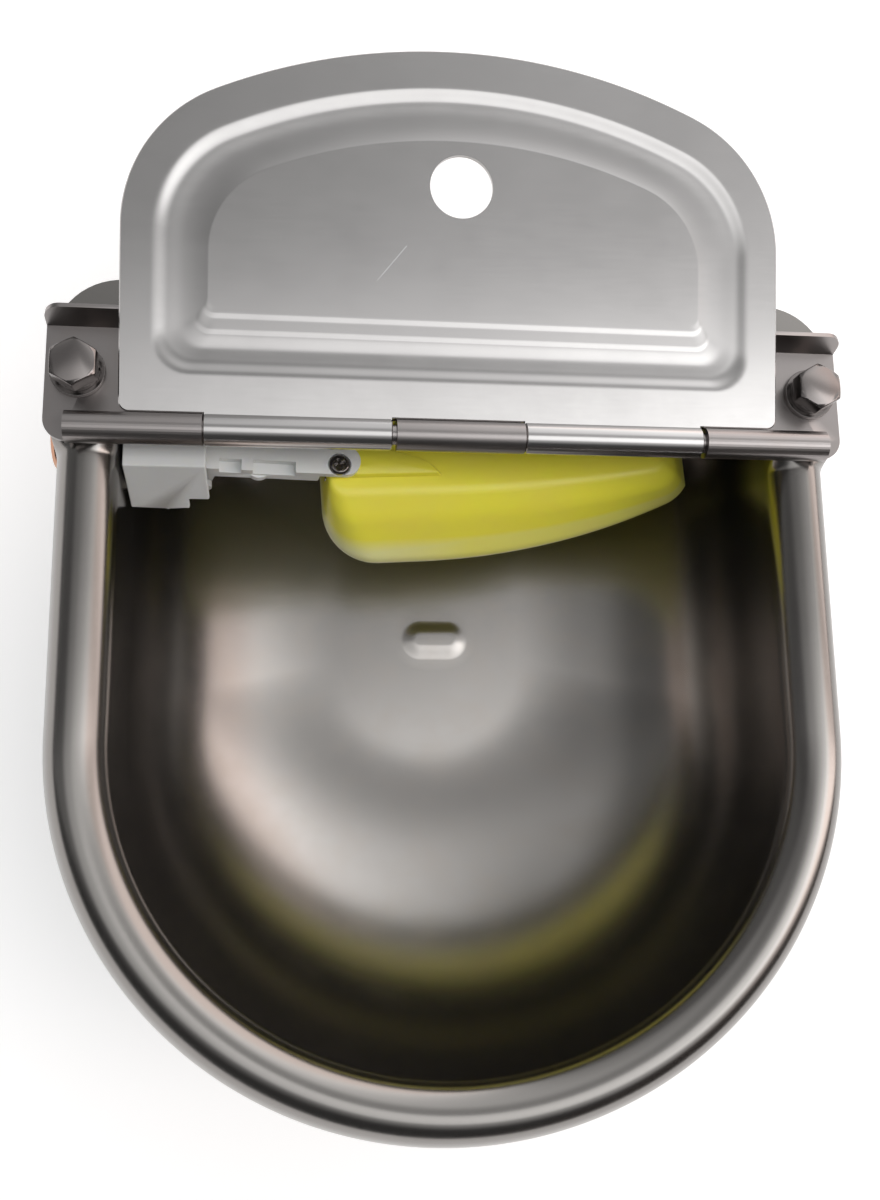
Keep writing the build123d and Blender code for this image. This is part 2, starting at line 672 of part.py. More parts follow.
def lever_arm():
    """Moulded lever: hub, nose, neck, and an arm with two open notches, a boss and a screw tab."""
    hub = axle(hub_r, hub_front_y, hub_back_y, 0, 0)
    neck_top = arm_top - neck_inset
    neck_line = Polyline((-hub_r, 0), (arm_start, arm_low), (arm_start, neck_top),
                         (arm_start + neck_length, neck_top), (arm_start + neck_length, arm_low),
                         (hub_r, 0), close=True)
    neck_frame = Plane(origin=(0, hub_front_y, 0), x_dir=(1, 0, 0), z_dir=(0, -1, 0))
    neck = extrude(neck_frame * make_face(neck_line), amount=-neck_t)
    nose_x = plunger_x + plunger_l + nose_gap - pivot_x
    nose = block(nose_x, nose_x + nose_t, inlet_y - nose_half, inlet_y + nose_half, 0, pivot_drop + nose_over)
    nose = Location((0, 0, 0), (0, -rest_tilt, 0)) * nose
    bar = block(arm_start, arm_end, arm_front_y, arm_back_y, arm_low, arm_top)
    bar = fillet(bar.edges().filter_by(Axis.Z), arm_edge_r)
    for x0, x1 in notch_ends:
        bar -= block(x0, x1, -far, arm_front_y + notch_back, arm_top - notch_depth, far)
    bar += post(boss_r, arm_low, arm_low + boss_h, boss_x, arm_front_y - boss_out + boss_r)
    tab_half = (arm_back_y - arm_front_y) / 2
    tab_y = (arm_back_y + arm_front_y) / 2
    strip = block(arm_end - tab_thickness, tab_tip, arm_front_y, arm_back_y, seat_top, arm_top)
    strip += post(tab_half, seat_top, arm_top, tab_tip, tab_y)
    arm = hub + neck + nose + bar + strip
    arm -= post(screw_d / 2 + screw_hole_play, arm_low, far, screw_x, screw_y)
    arm -= post(screw_recess_d / 2, arm_top - screw_recess, far, screw_x, screw_y)
    arm -= axle(pivot_pin_d / 2 + running_play, -far, far, 0, 0)
    return hang(arm)


# ---------------------------------------------------------------- float
def float_face(z, half, tip, corner, ends):
    """Plan of the float at one height: straight sides that close in to a narrow rounded end."""
    x0 = float_left + ends[0]
    x1 = float_right - ends[1]
    flat_end = tip * 0.45
    turn_x = x1 - tip * 0.7
    side = TangentArc((float_straight, half), (turn_x, tip), tangent=(1, 0))
    quarter = [
        CenterArc((x0 + corner, half - corner), corner, 90, 90),
        Line((x0 + corner, half), (float_straight, half)),
        side,
        TangentArc((turn_x, tip), (x1, flat_end), tangent=side % 1),
    ]
    mirrored = [mirror(edge, about=Plane.XZ) for edge in quarter]
    ends_lines = [Line((x0, corner - half), (x0, half - corner)), Line((x1, -flat_end), (x1, flat_end))]
    return Location((0, 0, z)) * make_face(Curve() + quarter + mirrored + ends_lines)


def water_float():
    """Moulded float: a tapered hull with bevelled shoulders and a raised seat for the arm's tab."""
    hull = loft([
        float_face(float_bottom, bottom_half, bottom_tip, bottom_corner, bottom_ends),
        float_face(float_chine, chine_half, chine_tip, chine_corner, chine_ends),
        float_face(float_beam, beam_half, beam_tip, beam_corner, beam_ends),
        float_face(float_shoulder, shoulder_half, shoulder_tip, shoulder_corner, shoulder_ends),
        float_face(float_top, top_half, top_tip, top_corner, top_ends),
    ], ruled=True)
    seat = Polyline((seat_start, -seat_half), (seat_tip, -seat_half), (seat_point, 0),
                    (seat_back, seat_half), (seat_start, seat_half), close=True)
    height = seat_top - float_top + seat_sink
    hull += extrude(Location((0, 0, float_top - seat_sink)) * make_face(seat), amount=height)
    hull = Location((screw_x, float_line_y, 0), (0, 0, skew)) * hull
    hull -= post(screw_d / 2 + screw_hole_play, seat_top - screw_length, far, screw_x, screw_y)
    nut_z = seat_top - float_nut_down
    hull -= Location((screw_x, screw_y, nut_z)) * hexagon(float_nut_af + 2 * thread_play, float_nut_h)
    return hang(hull)


def float_screw():
    """Cross recess screw through the arm's tab into the float."""
    seat = arm_top - screw_recess
    head = post(screw_head_d / 2, seat, seat + screw_head_h, screw_x, screw_y)
    head = chamfer(head.edges().filter_by(GeomType.CIRCLE).sort_by(Axis.Z)[-1], screw_head_h / 3)
    screw = head + post(screw_d / 2, seat_top - screw_length, seat, screw_x, screw_y)
    for turn in (20, 110):
        cut = Location((screw_x, screw_y, seat + screw_head_h), (0, 0, turn))
        screw -= cut * Box(recess_cut_l, recess_cut_w, 2 * recess_cut_d)
    return hang(screw)


def float_nut():
    """Captive nut inside the float."""
    nut = Location((screw_x, screw_y, seat_top - float_nut_down)) * hexagon(float_nut_af, float_nut_h)
    return hang(nut - post(screw_d / 2 + thread_play, -far, far, screw_x, screw_y))


# ---------------------------------------------------------------- write every node
os.makedirs("parts", exist_ok=True)
nodes = {
    "bowl": bowl(),
    "bridge_plate": bridge_plate(),
    "guard_flap": guard_flap(),
    "hinge_pin": hinge_pin(),
    "bridge_bolts": both_sides(bridge_bolt),
    "bolt_washers": washer(plate_top),
    "spring_washers": both_sides(spring_washer),
    "under_washers": washer(ledge_z - bowl_sheet - washer_t),
    "bolt_nuts": both_sides(bolt_nut),
    "inlet_connector": inlet_connector(),
    "inlet_gasket": inlet_ring(wall_out_x - gasket_t),
    "inner_gasket": inlet_ring(wall_in_x),
    "inlet_locknut": inlet_locknut(),
    "valve_body": valve_body(),
    "valve_cap": valve_cap(),
    "valve_nozzle": valve_nozzle(),
    "seal_disc": seal_disc(),
    "valve_plunger": valve_plunger(),
    "lever_pivot_pin": lever_pivot_pin(),
    "lever_arm": lever_arm(),
    "float": water_float(),
    "float_screw": float_screw(),
    "float_nut": float_nut(),
}
for node, shape in nodes.items():
    export_step(place(shape), f"parts/{node}.step")
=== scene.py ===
"""Livestock drinking bowl with a hinged guard flap and a float valve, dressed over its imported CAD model.

Points are worked out in millimetres from the hinge axis, +X to the right, +Y towards the wall, +Z up,
and then moved to the row frame in metres, whose zero is the middle of the two wall bolt holes.
"""
import math

import bmesh
import bpy
import numpy as np
from mathutils import Matrix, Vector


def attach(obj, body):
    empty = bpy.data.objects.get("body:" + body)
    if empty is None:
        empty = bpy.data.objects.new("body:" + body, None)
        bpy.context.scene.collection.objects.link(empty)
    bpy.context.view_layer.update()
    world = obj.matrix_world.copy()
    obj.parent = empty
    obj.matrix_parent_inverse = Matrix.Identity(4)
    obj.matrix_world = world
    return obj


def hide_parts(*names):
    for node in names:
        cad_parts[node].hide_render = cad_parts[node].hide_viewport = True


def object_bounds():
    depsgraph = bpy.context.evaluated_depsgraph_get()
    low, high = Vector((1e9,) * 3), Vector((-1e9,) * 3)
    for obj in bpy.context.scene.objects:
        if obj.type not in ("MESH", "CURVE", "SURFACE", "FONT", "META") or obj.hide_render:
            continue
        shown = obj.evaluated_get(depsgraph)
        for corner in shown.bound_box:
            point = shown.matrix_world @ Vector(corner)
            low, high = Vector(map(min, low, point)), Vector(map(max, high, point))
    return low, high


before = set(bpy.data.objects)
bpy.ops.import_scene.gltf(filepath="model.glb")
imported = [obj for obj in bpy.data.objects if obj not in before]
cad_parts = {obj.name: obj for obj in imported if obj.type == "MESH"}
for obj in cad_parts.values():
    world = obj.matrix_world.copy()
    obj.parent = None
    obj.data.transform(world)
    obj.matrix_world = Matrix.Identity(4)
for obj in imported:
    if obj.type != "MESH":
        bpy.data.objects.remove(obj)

CAD_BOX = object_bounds()

bl_info = {
    "name": "Livestock drinking bowl",
    "version": (1, 0, 0),
    "blender": (4, 5, 0),
    "location": "View3D > Sidebar > Drinker",
    "description": "Builds the visible pieces of a stainless drinking bowl over its CAD frame",
    "category": "Add Mesh",
}

MM = 0.001
HINGE_TO_ROW = np.array((0.0, -48.0, 30.0))
HALF_TURN = math.pi
QUARTER = math.pi / 2

# bowl, in millimetres from the hinge axis
WALL_BACK = 48.0
FRONT_REACH = 183.9
FRONT_RATIO = 0.95
FLOOR_HALF, FLOOR_FRONT, FLOOR_BACK = 35.0, 88.9, 12.8
SIDE_STRAIGHT, REAR_STRAIGHT = 42.0, 55.0
REAR_CORNER, FLOOR_CORNER, LEDGE_CORNER = 19.0, 25.0, 20.0
LEDGE_Z = -4.65
LIP_INNER_R, LEDGE_BEND_R, LIP_LEG = 9.0, 1.6, 2.25
LIP_END_Y, LEDGE_START_Y = -6.0, 2.0
FORM_TOP = LEDGE_Z - LIP_INNER_R - LIP_LEG     # where the drawn wall ends below the lip
WALL_INSIDE = 46.8                             # inner face of the back wall
SIDE_BACK, SIDE_FRONT = 27.8, -87.95           # ends of the straight side at the mouth
BOSS_X, BOSS_Y = 2.5, -47.9
BOSS_STRAIGHT, BOSS_R, BOSS_SLOPE = 5.25, 6.75, 4.2
BOSS_ROUND = 0.8
WALL_HOLE_X, WALL_HOLE_Z, WALL_HOLE_R = 60.0, -30.0, 4.5
DRILL_BEFORE, DRILL_BEHIND = 8.0, 7.0          # the drill's reach from the wall's back

# guard flap, in its own plane
REST_DEG = 9.538
FLAP_SHIFT = -0.55
FLAP = dict(half=99.0, bottom=4.8, top=115.3, corner=45.0, arc=178.0, foot=3.0)
DISH = dict(half=89.0, bottom=17.0, top=103.5, corner=34.0, arc=166.2, foot=10.0)
RIM_SHARE, RIM_WIDTH = 0.76, 2.8          # share of the dish's depth in its rim, and the rim's width
RIM_OUT, RIM_BEND = 0.2, 1.8
TROUGH_D, PLATEAU_RISE, PLATEAU_D = 8.0, 0.5, 15.0
FOOT_STEP, FOOT_BAND, SIDE_BAND = 11.7, 5.0, 2.3
FOOT_RISES = ((6.5, 4.5, 0.18), (11.1, 1.2, 0.16), (15.9, 1.2, 0.16))   # where, how wide, how high
FLAP_HOLE = np.array((0.4, 75.0))
FLAP_HOLE_R = 9.5
FLAP_KNUCKLES = ((-74.65, -20.05), (20.05, 74.65))
KNUCKLE_R, BORE_R, KNUCKLE_EDGE = 4.65, 3.15, 0.3
NECK, STRIP_FOOT = 0.6, 1.0     # the ring from which the knuckles' strips reach out, and where they end
STRETCH_N, FOOT_N, SIDE_N, CORNER_N, ARC_N = 14, 9, 16, 26, 90   # points along the outline's parts

# float, along its own centre line, heights above the lever's pivot with the arm level
PIVOT = np.array((-80.2, 0.0, -37.0))
TILT_DEG = 5.0
FLOAT_X, FLOAT_Y, SKEW_DEG = 43.1, -1.65, 4.1
FLOAT_LEFT, FLOAT_RIGHT, FLOAT_STRAIGHT = -4.1, 127.8, 28.0
SEAT_TOP = 18.9

# painted shade on the bowl's lip, a painted reflection on the float and a scratch on the flap, in metres of
# the row frame or of the node's own place
PAINTED_LIP_SHADE, PAINTED_LIP_SHADE_Z = 0.75, (0.008, 0.022)               # painted shade: the lip and the top of the wall drawn darker by this share, and the heights where it fades in
PAINTED_REFLECTION_LEAN, PAINTED_REFLECTION_Z, PAINTED_REFLECTION_X = -0.087, (-0.0140, -0.0085), (-0.030, 0.010)   # painted reflection: the float drawn paler low down and towards its left end, on a line tilted by the lean
SCRATCH = ((-0.0253, -0.0030), (-0.0165, 0.0077), 0.00022)                # on the flap

# studio light by direction: across and along are x and y over the height
SIDE_LEVEL, SIDE_STEPS = 0.14, ((-1.1, -0.4, 0.36), (-0.35, 0.30, 0.55), (0.15, 0.90, 0.9))
OVERHEAD_SPAN, BACK_SPAN = (-1.3, -0.50), (0.30, 0.75)
STRIP_START, STRIP_END = (-0.60, -0.35), (0.13, 0.03)
HORIZON, WARM_SPAN, WARM = (0.02, 0.12), (0.6, 1.3), (1.0, 0.87, 0.82)
LEAST_HEIGHT = 0.001

# floor and camera, in metres of the row frame
FLOOR_R, FLOOR_Y, FLOOR_TONE, FLOOR_GLOW = 4.0, -0.05, 0.80, 0.45
CAMERA_PLACE = (-0.0447, -0.1528, 0.3370)
CAMERA_RIGHT, CAMERA_BACK = (0.9927, -0.0132, 0.1202), (-0.1206, -0.1757, 0.9770)
CAMERA_LENS, CAMERA_SENSOR = 32.49, 36.0


# ------------------------------------------------------------------ sizes and colours a user may change
def length(name, description, default):
    """A length property, in metres."""
    return bpy.props.FloatProperty(name=name, description=description, default=default,
                                   min=0.0, unit="LENGTH", subtype="DISTANCE", precision=4)


def colour(name, description, default):
    """A linear colour property."""
    return bpy.props.FloatVectorProperty(name=name, description=description, default=default,
                                         size=3, min=0.0, max=1.0, subtype="COLOR")


def amount(name, description, default, high=1.0):
    """A plain number property."""
    return bpy.props.FloatProperty(name=name, description=description, default=default,
                                   min=0.0, max=high, subtype="FACTOR" if high == 1.0 else "NONE")


class DrinkerSizes(bpy.types.PropertyGroup):
    """Sizes of the sheet metal and the plastic edges."""
    half_width: length("Inner half width", "Centre line to the inside of the bowl's side wall", 0.101)
    depth: length("Depth", "Hinge axis to the bowl's floor", 0.095)
    sheet: length("Bowl sheet", "Thickness of the drawn bowl", 0.0012)
    lip_width: length("Lip width", "Side wall to the lip's outer edge", 0.019)
    lip_drop: length("Lip drop", "Lip's crest to its outer edge", 0.015)
    boss_height: length("Boss height", "Height of the oblong boss in the floor", 0.0009)
    leaf: length("Leaf sheet", "Thickness of the flap and the bridge plate", 0.0015)
    dish_depth: length("Dish depth", "Depth of the pressed dish's trough", 0.0011)
    metal_edge: length("Metal edge", "Rounding of cut metal edges", 0.00035)
    plastic_edge: length("Plastic edge", "Rounding of moulded edges", 0.0005)


class DrinkerColours(bpy.types.PropertyGroup):
    """Base colours, the colour of the painted reflection on the float, and the gloss of the metal."""
    bowl_steel: colour("Bowl steel", "Drawn stainless steel", (0.35, 0.335, 0.32))
    plate_steel: colour("Plate steel", "Stainless sheet of the bridge plate", (0.31, 0.29, 0.285))
    flap_steel: colour("Flap steel", "Stainless sheet of the guard flap", (0.47, 0.46, 0.455))
    zinc: colour("Zinc", "Plated bolts, washers and screws", (0.20, 0.185, 0.18))
    brass: colour("Brass", "Inlet stub and its nut", (0.52, 0.29, 0.20))
    rubber: colour("Rubber", "Gaskets and seal", (0.03, 0.03, 0.03))
    white: colour("White plastic", "Valve, cap and lever", (0.80, 0.82, 0.81))
    # The float's plastic is the yellow; the pale yellow below is a painted reflection of the bowl on its
    # lower part and left end
    yellow: colour("Yellow plastic", "Upper part of the float", (1.0, 0.93, 0.07))
    painted_reflection_yellow: colour("Pale yellow", "Lower part of the float", (0.90, 0.90, 0.46))
    bowl_roughness: amount("Bowl roughness", "Blur of the bowl's reflections", 0.225)
    flap_roughness: amount("Flap roughness", "Blur of the flap's reflections", 0.20)


class DrinkerStage(bpy.types.PropertyGroup):
    """Light and floor."""
    sky: amount("Overhead light", "Brightness of the soft light overhead", 0.50, 10.0)
    lamp: amount("Lamp", "Brightness of the lamp strip above the front", 1.35, 10.0)
    window: amount("Back light", "Brightness of the light behind and above the wall", 0.6, 10.0)
    surround: amount("Surround", "Brightness of the studio round the object", 0.07, 10.0)
    floor_drop: length("Floor gap", "Gap between the CAD model's lowest point and the floor", 0.0005)


# ------------------------------------------------------------------ numpy surfaces
def smoothstep(t):
    """3t squared less 2t cubed, with t held between 0 and 1."""
    t = np.clip(t, 0.0, 1.0)
    return t * t * (3 - 2 * t)


def ramp(d, width):
    """Zero below zero and d above it, joined by a parabola of that width."""
    middle = (d + width / 2) ** 2 / (2 * width)
    return np.where(d < -width / 2, 0.0, np.where(d > width / 2, d, middle))


def rounded_path(control, radii, steps=7):
    """Rings along a path of control rings, an array (controls, around, 3). Each corner between the ends
    is a quadratic Bezier curve that starts and ends its radius away, at most half way to the next one."""
    rings = [control[:1]]
    t = np.linspace(0, 1, steps)[:, None, None]
    for before, here, after, radius in zip(control[:-2], control[1:-1], control[2:], radii):
        ends = []
        for other in (before, after):
            gap = np.linalg.norm(other - here, axis=1, keepdims=True)
            ends.append(here + (other - here) * np.minimum(radius / np.maximum(gap, 1e-9), 0.49))
        rings.append((1 - t) ** 2 * ends[0] + 2 * t * (1 - t) * here + t ** 2 * ends[1])
    rings.append(control[-1:])
    return np.concatenate(rings)


def ring_mesh(name, shells, sharp_deg=38.0):
    """One mesh from closed shells. A shell is (rings, ends): an array (rings, around, 3) whose rings close on
    themselves and are joined by quads. Its ends are joined to each other ("loop"), closed by a fan to their
    mean points ("fan"), or already fold shut on a line ("line"). Doubled points are merged and the faces
    turned outwards."""
    bm = bmesh.new()
    for rings, ends in shells:
        count, around = rings.shape[:2]
        points = rings.reshape(-1, 3)
        i = np.arange(count if ends == "loop" else count - 1)[:, None]
        j = np.arange(around)[None, :]
        k = (j + 1) % around
        low, high = i * around, ((i + 1) % count) * around
        faces = np.stack((low + j, low + k, high + k, high + j), -1).reshape(-1, 4).tolist()
        if ends == "fan":
            last = (count - 1) * around
            j, k = j[0], k[0]
            first_pole, last_pole = np.full(around, len(points)), np.full(around, len(points) + 1)
            points = np.vstack((points, rings[0].mean(0), rings[-1].mean(0)))
            faces += np.stack((first_pole, k, j), -1).tolist()
            faces += np.stack((last + j, last + k, last_pole), -1).tolist()
        shell = bpy.data.meshes.new(name)
        shell.from_pydata(((points + HINGE_TO_ROW) * MM).tolist(), [], faces)
        bm.from_mesh(shell)
        bpy.data.meshes.remove(shell)
    bmesh.ops.remove_doubles(bm, verts=bm.verts, dist=1e-6)
    bmesh.ops.dissolve_degenerate(bm, edges=bm.edges, dist=1e-7)
    bmesh.ops.recalc_face_normals(bm, faces=bm.faces)
    mesh = bpy.data.meshes.new(name)
    bm.to_mesh(mesh)
    bm.free()
    finish_shading(mesh, sharp_deg)
    return mesh


def finish_shading(mesh, sharp_deg):
    """Smooth faces, with the edges sharper than that angle left hard."""
    mesh.polygons.foreach_set("use_smooth", np.ones(len(mesh.polygons), bool))
    mesh.set_sharp_from_angle(angle=math.radians(sharp_deg))
    mesh.update()


def disc_points(radius, centre, count):
    """Angles round a circle and its points, as (count, 2)."""
    a = np.linspace(0, 2 * HALF_TURN, count, endpoint=False)
    return np.stack((np.cos(a), np.sin(a)), -1) * radius + centre


def tube(x0, x1, radius, bore, edge, around=64):
    """A bored bar along X as a looped shell: the outer circle with its ends rounded by edge, then
    the bore."""
    circle = disc_points(1.0, (0.0, 0.0), around)
    stations = ((x0, radius - edge), (x0 + edge, radius), (x1 - edge, radius), (x1, radius - edge),
                (x1, bore), (x0, bore))
    rings = [np.column_stack((np.full(around, x), circle * r)) for x, r in stations]
    return np.array(rings), "loop"


# ------------------------------------------------------------------ pieces and materials
def put(name, mesh, body, material, nodes):
    """Link a finished mesh, let it ride on its body and stand for its CAD nodes."""
    obj = bpy.data.objects.new(name, mesh)
    bpy.context.scene.collection.objects.link(obj)
    mesh.materials.clear()
    mesh.materials.append(material)
    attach(obj, body)
    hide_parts(*nodes)
    return obj


def softened(node, width, body, material, name):
    """A node's mesh copied, its doubles merged, its flat facets joined, and its edges rounded by a bevel."""
    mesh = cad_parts[node].data.copy()
    mesh.name = name
    bm = bmesh.new()
    bm.from_mesh(mesh)
    bmesh.ops.remove_doubles(bm, verts=bm.verts, dist=2e-6)
    bmesh.ops.dissolve_limit(bm, angle_limit=math.radians(0.5), verts=bm.verts, edges=bm.edges)
    bm.to_mesh(mesh)
    bm.free()
    finish_shading(mesh, 30.0)
    obj = put(name, mesh, body, material, (node,))
    bevel = obj.modifiers.new("rounded edges", "BEVEL")
    bevel.width = width
    bevel.segments = 2
    bevel.limit_method = "ANGLE"
    bevel.angle_limit = math.radians(35)
    bevel.harden_normals = True
    bevel.miter_outer = "MITER_ARC"
    return obj


class Wiring:
    """A node tree being wired, with the helpers that add its nodes."""

    def __init__(self, tree):
        self.tree = tree

    def add(self, kind, **values):
        """A new node with its plain attributes set."""
        node = self.tree.nodes.new(kind)
        for key, value in values.items():
            setattr(node, key, value)
        return node

    def join(self, source, target):
        """One link."""
        self.tree.links.new(source, target)

    def feed(self, socket, value):
        """A link from a socket, or a plain value."""
        if isinstance(value, bpy.types.NodeSocket):
            self.join(value, socket)
        else:
            socket.default_value = value

    def axes(self, vector):
        """The X, Y and Z of a vector."""
        split = self.add("ShaderNodeSeparateXYZ")
        self.join(vector, split.inputs["Vector"])
        return split.outputs

    def spread(self, source, low, high, start=0.3, end=0.7):
        """The source's start to end laid out between low and high."""
        node = self.add("ShaderNodeMapRange")
        for key, value in (("From Min", start), ("From Max", end), ("To Min", low), ("To Max", high)):
            node.inputs[key].default_value = value
        self.join(source, node.inputs["Value"])
        return node.outputs["Result"]

    def band(self, source, start, end):
        """A smooth step from 0 at start to 1 at end."""
        result = self.spread(source, 0.0, 1.0, start, end)
        result.node.interpolation_type = "SMOOTHSTEP"
        return result

    def mix(self, factor, one, two):
        """Colour one to colour two by a factor."""
        node = self.add("ShaderNodeMix", data_type="RGBA")
        self.join(factor, node.inputs["Factor"])
        for socket, value in ((node.inputs[6], one), (node.inputs[7], two)):
            self.feed(socket, value if isinstance(value, bpy.types.NodeSocket) else (*value, 1.0))
        return node.outputs[2]

    def maths(self, operation, first, *others):
        """A Math node of a source, and one for each other source or number that is taken into the result."""
        result = first
        for other in others or (None,):
            node = self.add("ShaderNodeMath", operation=operation)
            self.feed(node.inputs[0], result)
            if other is not None:
                self.feed(node.inputs[1], other)
            result = node.outputs[0]
        return result


class Shader(Wiring):
    """A material being wired: its Principled shader and the helpers for its surface."""

    def __init__(self, name):
        self.material = bpy.data.materials.new(name)
        self.material.use_nodes = True
        super().__init__(self.material.node_tree)
        self.body = self.tree.nodes["Principled BSDF"]
        self.place = self.tree.nodes.new("ShaderNodeTexCoord").outputs["Object"]

    def mapped(self, scale=(1, 1, 1), turn=(0, 0, 0)):
        """Object coordinates, stretched and turned."""
        node = self.add("ShaderNodeMapping")
        node.inputs["Scale"].default_value = scale
        node.inputs["Rotation"].default_value = turn
        self.join(self.place, node.inputs["Vector"])
        return node.outputs["Vector"]

    def noise(self, scale, detail=3.0, stretch=(1, 1, 1), rough=0.5):
        """Cloudy noise on the stretched coordinates."""
        node = self.add("ShaderNodeTexNoise")
        node.inputs["Scale"].default_value = scale
        node.inputs["Detail"].default_value = detail
        node.inputs["Roughness"].default_value = rough
        self.join(self.mapped(stretch), node.inputs["Vector"])
        return node.outputs["Fac"]

    def recolour(self, factor, one=None, two=None):
        """The base colour mixed by a factor from one to two, of which the one left out is what it was."""
        socket = self.body.inputs["Base Color"]
        was = socket.links[0].from_socket
        self.join(self.mix(factor, was if one is None else one, was if two is None else two), socket)

    def bump(self, height, strength, distance):
        """Bump from a height, chained behind any bump before it."""
        node = self.add("ShaderNodeBump")
        node.inputs["Strength"].default_value = strength
        node.inputs["Distance"].default_value = distance
        self.join(height, node.inputs["Height"])
        normal = self.body.inputs["Normal"]
        if normal.is_linked:
            self.join(normal.links[0].from_socket, node.inputs["Normal"])
        self.join(node.outputs["Normal"], normal)

    def line(self, start, end, width):
        """One where the place, seen along Z, is within width of the stretch from start to end, else zero."""
        run = np.array(end) - np.array(start)
        reach = float(np.hypot(*run))
        turn = math.atan2(run[1], run[0])
        node = self.add("ShaderNodeMapping", vector_type="TEXTURE")
        node.inputs["Location"].default_value = (*start, 0)
        node.inputs["Rotation"].default_value = (0, 0, turn)
        self.join(self.place, node.inputs["Vector"])
        x, y, _ = self.axes(node.outputs["Vector"])
        along = self.maths("PINGPONG", x, reach)
        inside = self.maths("COMPARE", x, reach / 2)
        inside.node.inputs[2].default_value = reach / 2
        across = self.spread(self.maths("ABSOLUTE", y), 1.0, 0.0, 0.0, width)
        fade = self.spread(along, 0.3, 1.0, 0.0, reach * 0.3)
        return self.maths("MULTIPLY", inside, across, fade)


def steel(name, base, roughness, grain=(1, 1, 1), grain_scale=900.0, warm=0.0):
    """Satin stainless steel: cloudy tone, finger marks in the gloss, and a fine grain that may be
    stretched."""
    s = Shader(name)
    clouds = s.noise(22.0, 4.0)
    base = np.array(base)
    worn = s.mix(s.spread(clouds, 0, 1), tuple(base * 0.95), tuple(np.minimum(base * 1.04, 1.0)))
    smudge = s.noise(75.0, 6.0, rough=0.62)
    tint = tuple(base * np.array((1.0 + warm, 1.0, 1.0 - warm)) * 0.96)
    s.join(s.mix(s.spread(smudge, 0.0, 0.55, 0.45, 0.75), worn, tint), s.body.inputs["Base Color"])
    s.body.inputs["Metallic"].default_value = 1.0
    fine = s.noise(grain_scale, 3.0, grain)
    gloss = s.maths("ADD", s.spread(smudge, -0.012, 0.018),
                    s.spread(fine, roughness - 0.01, roughness + 0.01))
    s.join(gloss, s.body.inputs["Roughness"])
    s.bump(fine, 0.02, 0.00002)
    s.bump(s.noise(9.0, 1.0), 0.05, 0.0005)
    return s


def plastic(name, base, other, roughness, glow):
    """Moulded plastic: faint flow marks in the colour, a fine skin and a little light let through."""
    s = Shader(name)
    flow = s.noise(40.0, 5.0, (1, 2.2, 1))
    s.join(s.mix(s.spread(flow, 0, 1), base, other), s.body.inputs["Base Color"])
    s.join(s.spread(s.noise(160.0, 5.0), roughness - 0.05, roughness + 0.08), s.body.inputs["Roughness"])
    s.body.inputs["Subsurface Weight"].default_value = glow
    s.body.inputs["Subsurface Radius"].default_value = (0.004, 0.003, 0.0015)
    s.body.inputs["Subsurface Scale"].default_value = 1.0
    s.bump(s.noise(700.0, 3.0), 0.12, 0.0001)
    s.bump(s.noise(45.0, 3.0), 0.10, 0.0004)
    return s


MATERIALS = {}


def build_materials(c):
    """Every finish, by name, from the user's colours, with painted shade darkening the bowl's lip and a
    painted reflection paling the float's lower part.
    """
    bowl = steel("drawn stainless", c.bowl_steel, c.bowl_roughness, (1, 1, 0.35), 800.0, 0.04)
    # painted shade: the bowl's colour darkened towards the top, over the lip and the top of the wall
    lip = bowl.spread(bowl.axes(bowl.place)["Z"], 0.0, 1.0, *PAINTED_LIP_SHADE_Z)
    bowl.recolour(lip, two=tuple(np.array(c.bowl_steel) * PAINTED_LIP_SHADE))
    flap = steel("flap stainless", c.flap_steel, c.flap_roughness, (0.12, 1.6, 1.0), 700.0)
    flap.recolour(flap.line(*SCRATCH), two=(0.75, 0.75, 0.75))
    plate = steel("plate stainless", c.plate_steel, 0.30, (0.12, 1.6, 1.0), 700.0, 0.03)
    pin = steel("pin stainless", c.plate_steel, 0.25, (0.1, 1, 1), 900.0)
    zinc = steel("zinc plated steel", c.zinc, 0.24, (1, 1, 1), 1200.0)
    brass = steel("turned brass", c.brass, 0.24, (3.0, 0.4, 0.4), 1400.0, 0.05)
    brass.body.inputs["Specular Tint"].default_value = (1.0, 0.9, 0.8, 1.0)
    white = plastic("white plastic", tuple(c.white), tuple(np.array(c.white) * 0.93), 0.38, 0.10)
    yellow = plastic("yellow plastic", tuple(c.yellow), tuple(np.array(c.yellow) * (0.97, 0.93, 1.4)),
                     0.33, 0.18)
    # painted reflection: the float's colour turns pale low down and towards its left end
    x, _, z = yellow.axes(yellow.mapped(turn=(0, PAINTED_REFLECTION_LEAN, 0)))
    clear_of_painted_reflection = yellow.maths("MAXIMUM", yellow.spread(z, 0.0, 1.0, *PAINTED_REFLECTION_Z), yellow.spread(x, 0.0, 0.7, *PAINTED_REFLECTION_X))
    yellow.recolour(clear_of_painted_reflection, one=tuple(c.painted_reflection_yellow))
    rubber = Shader("black rubber")
    marks = rubber.spread(rubber.noise(300.0, 4.0), 0, 1)
    rubber.join(rubber.mix(marks, tuple(c.rubber), (0.06, 0.06, 0.06)), rubber.body.inputs["Base Color"])
    rubber.body.inputs["Roughness"].default_value = 0.75
    rubber.bump(rubber.noise(900.0, 3.0), 0.25, 0.0001)
    MATERIALS.update(bowl=bowl.material, flap=flap.material, plate=plate.material, pin=pin.material,
                     zinc=zinc.material, brass=brass.material, white=white.material,
                     yellow=yellow.material, rubber=rubber.material)


# ------------------------------------------------------------------ bowl
def side_steps():
    """Shares of the straight side from its back to its front, closer where the lip turns into the ledge."""
    share = [(SIDE_BACK - y) / (SIDE_BACK - SIDE_FRONT) for y in (LEDGE_START_Y, LIP_END_Y)]
    return np.concatenate((np.linspace(0, share[0], 6)[:-1], np.linspace(*share, 15)[:-1],
                           np.linspace(share[1], 1, 24)))


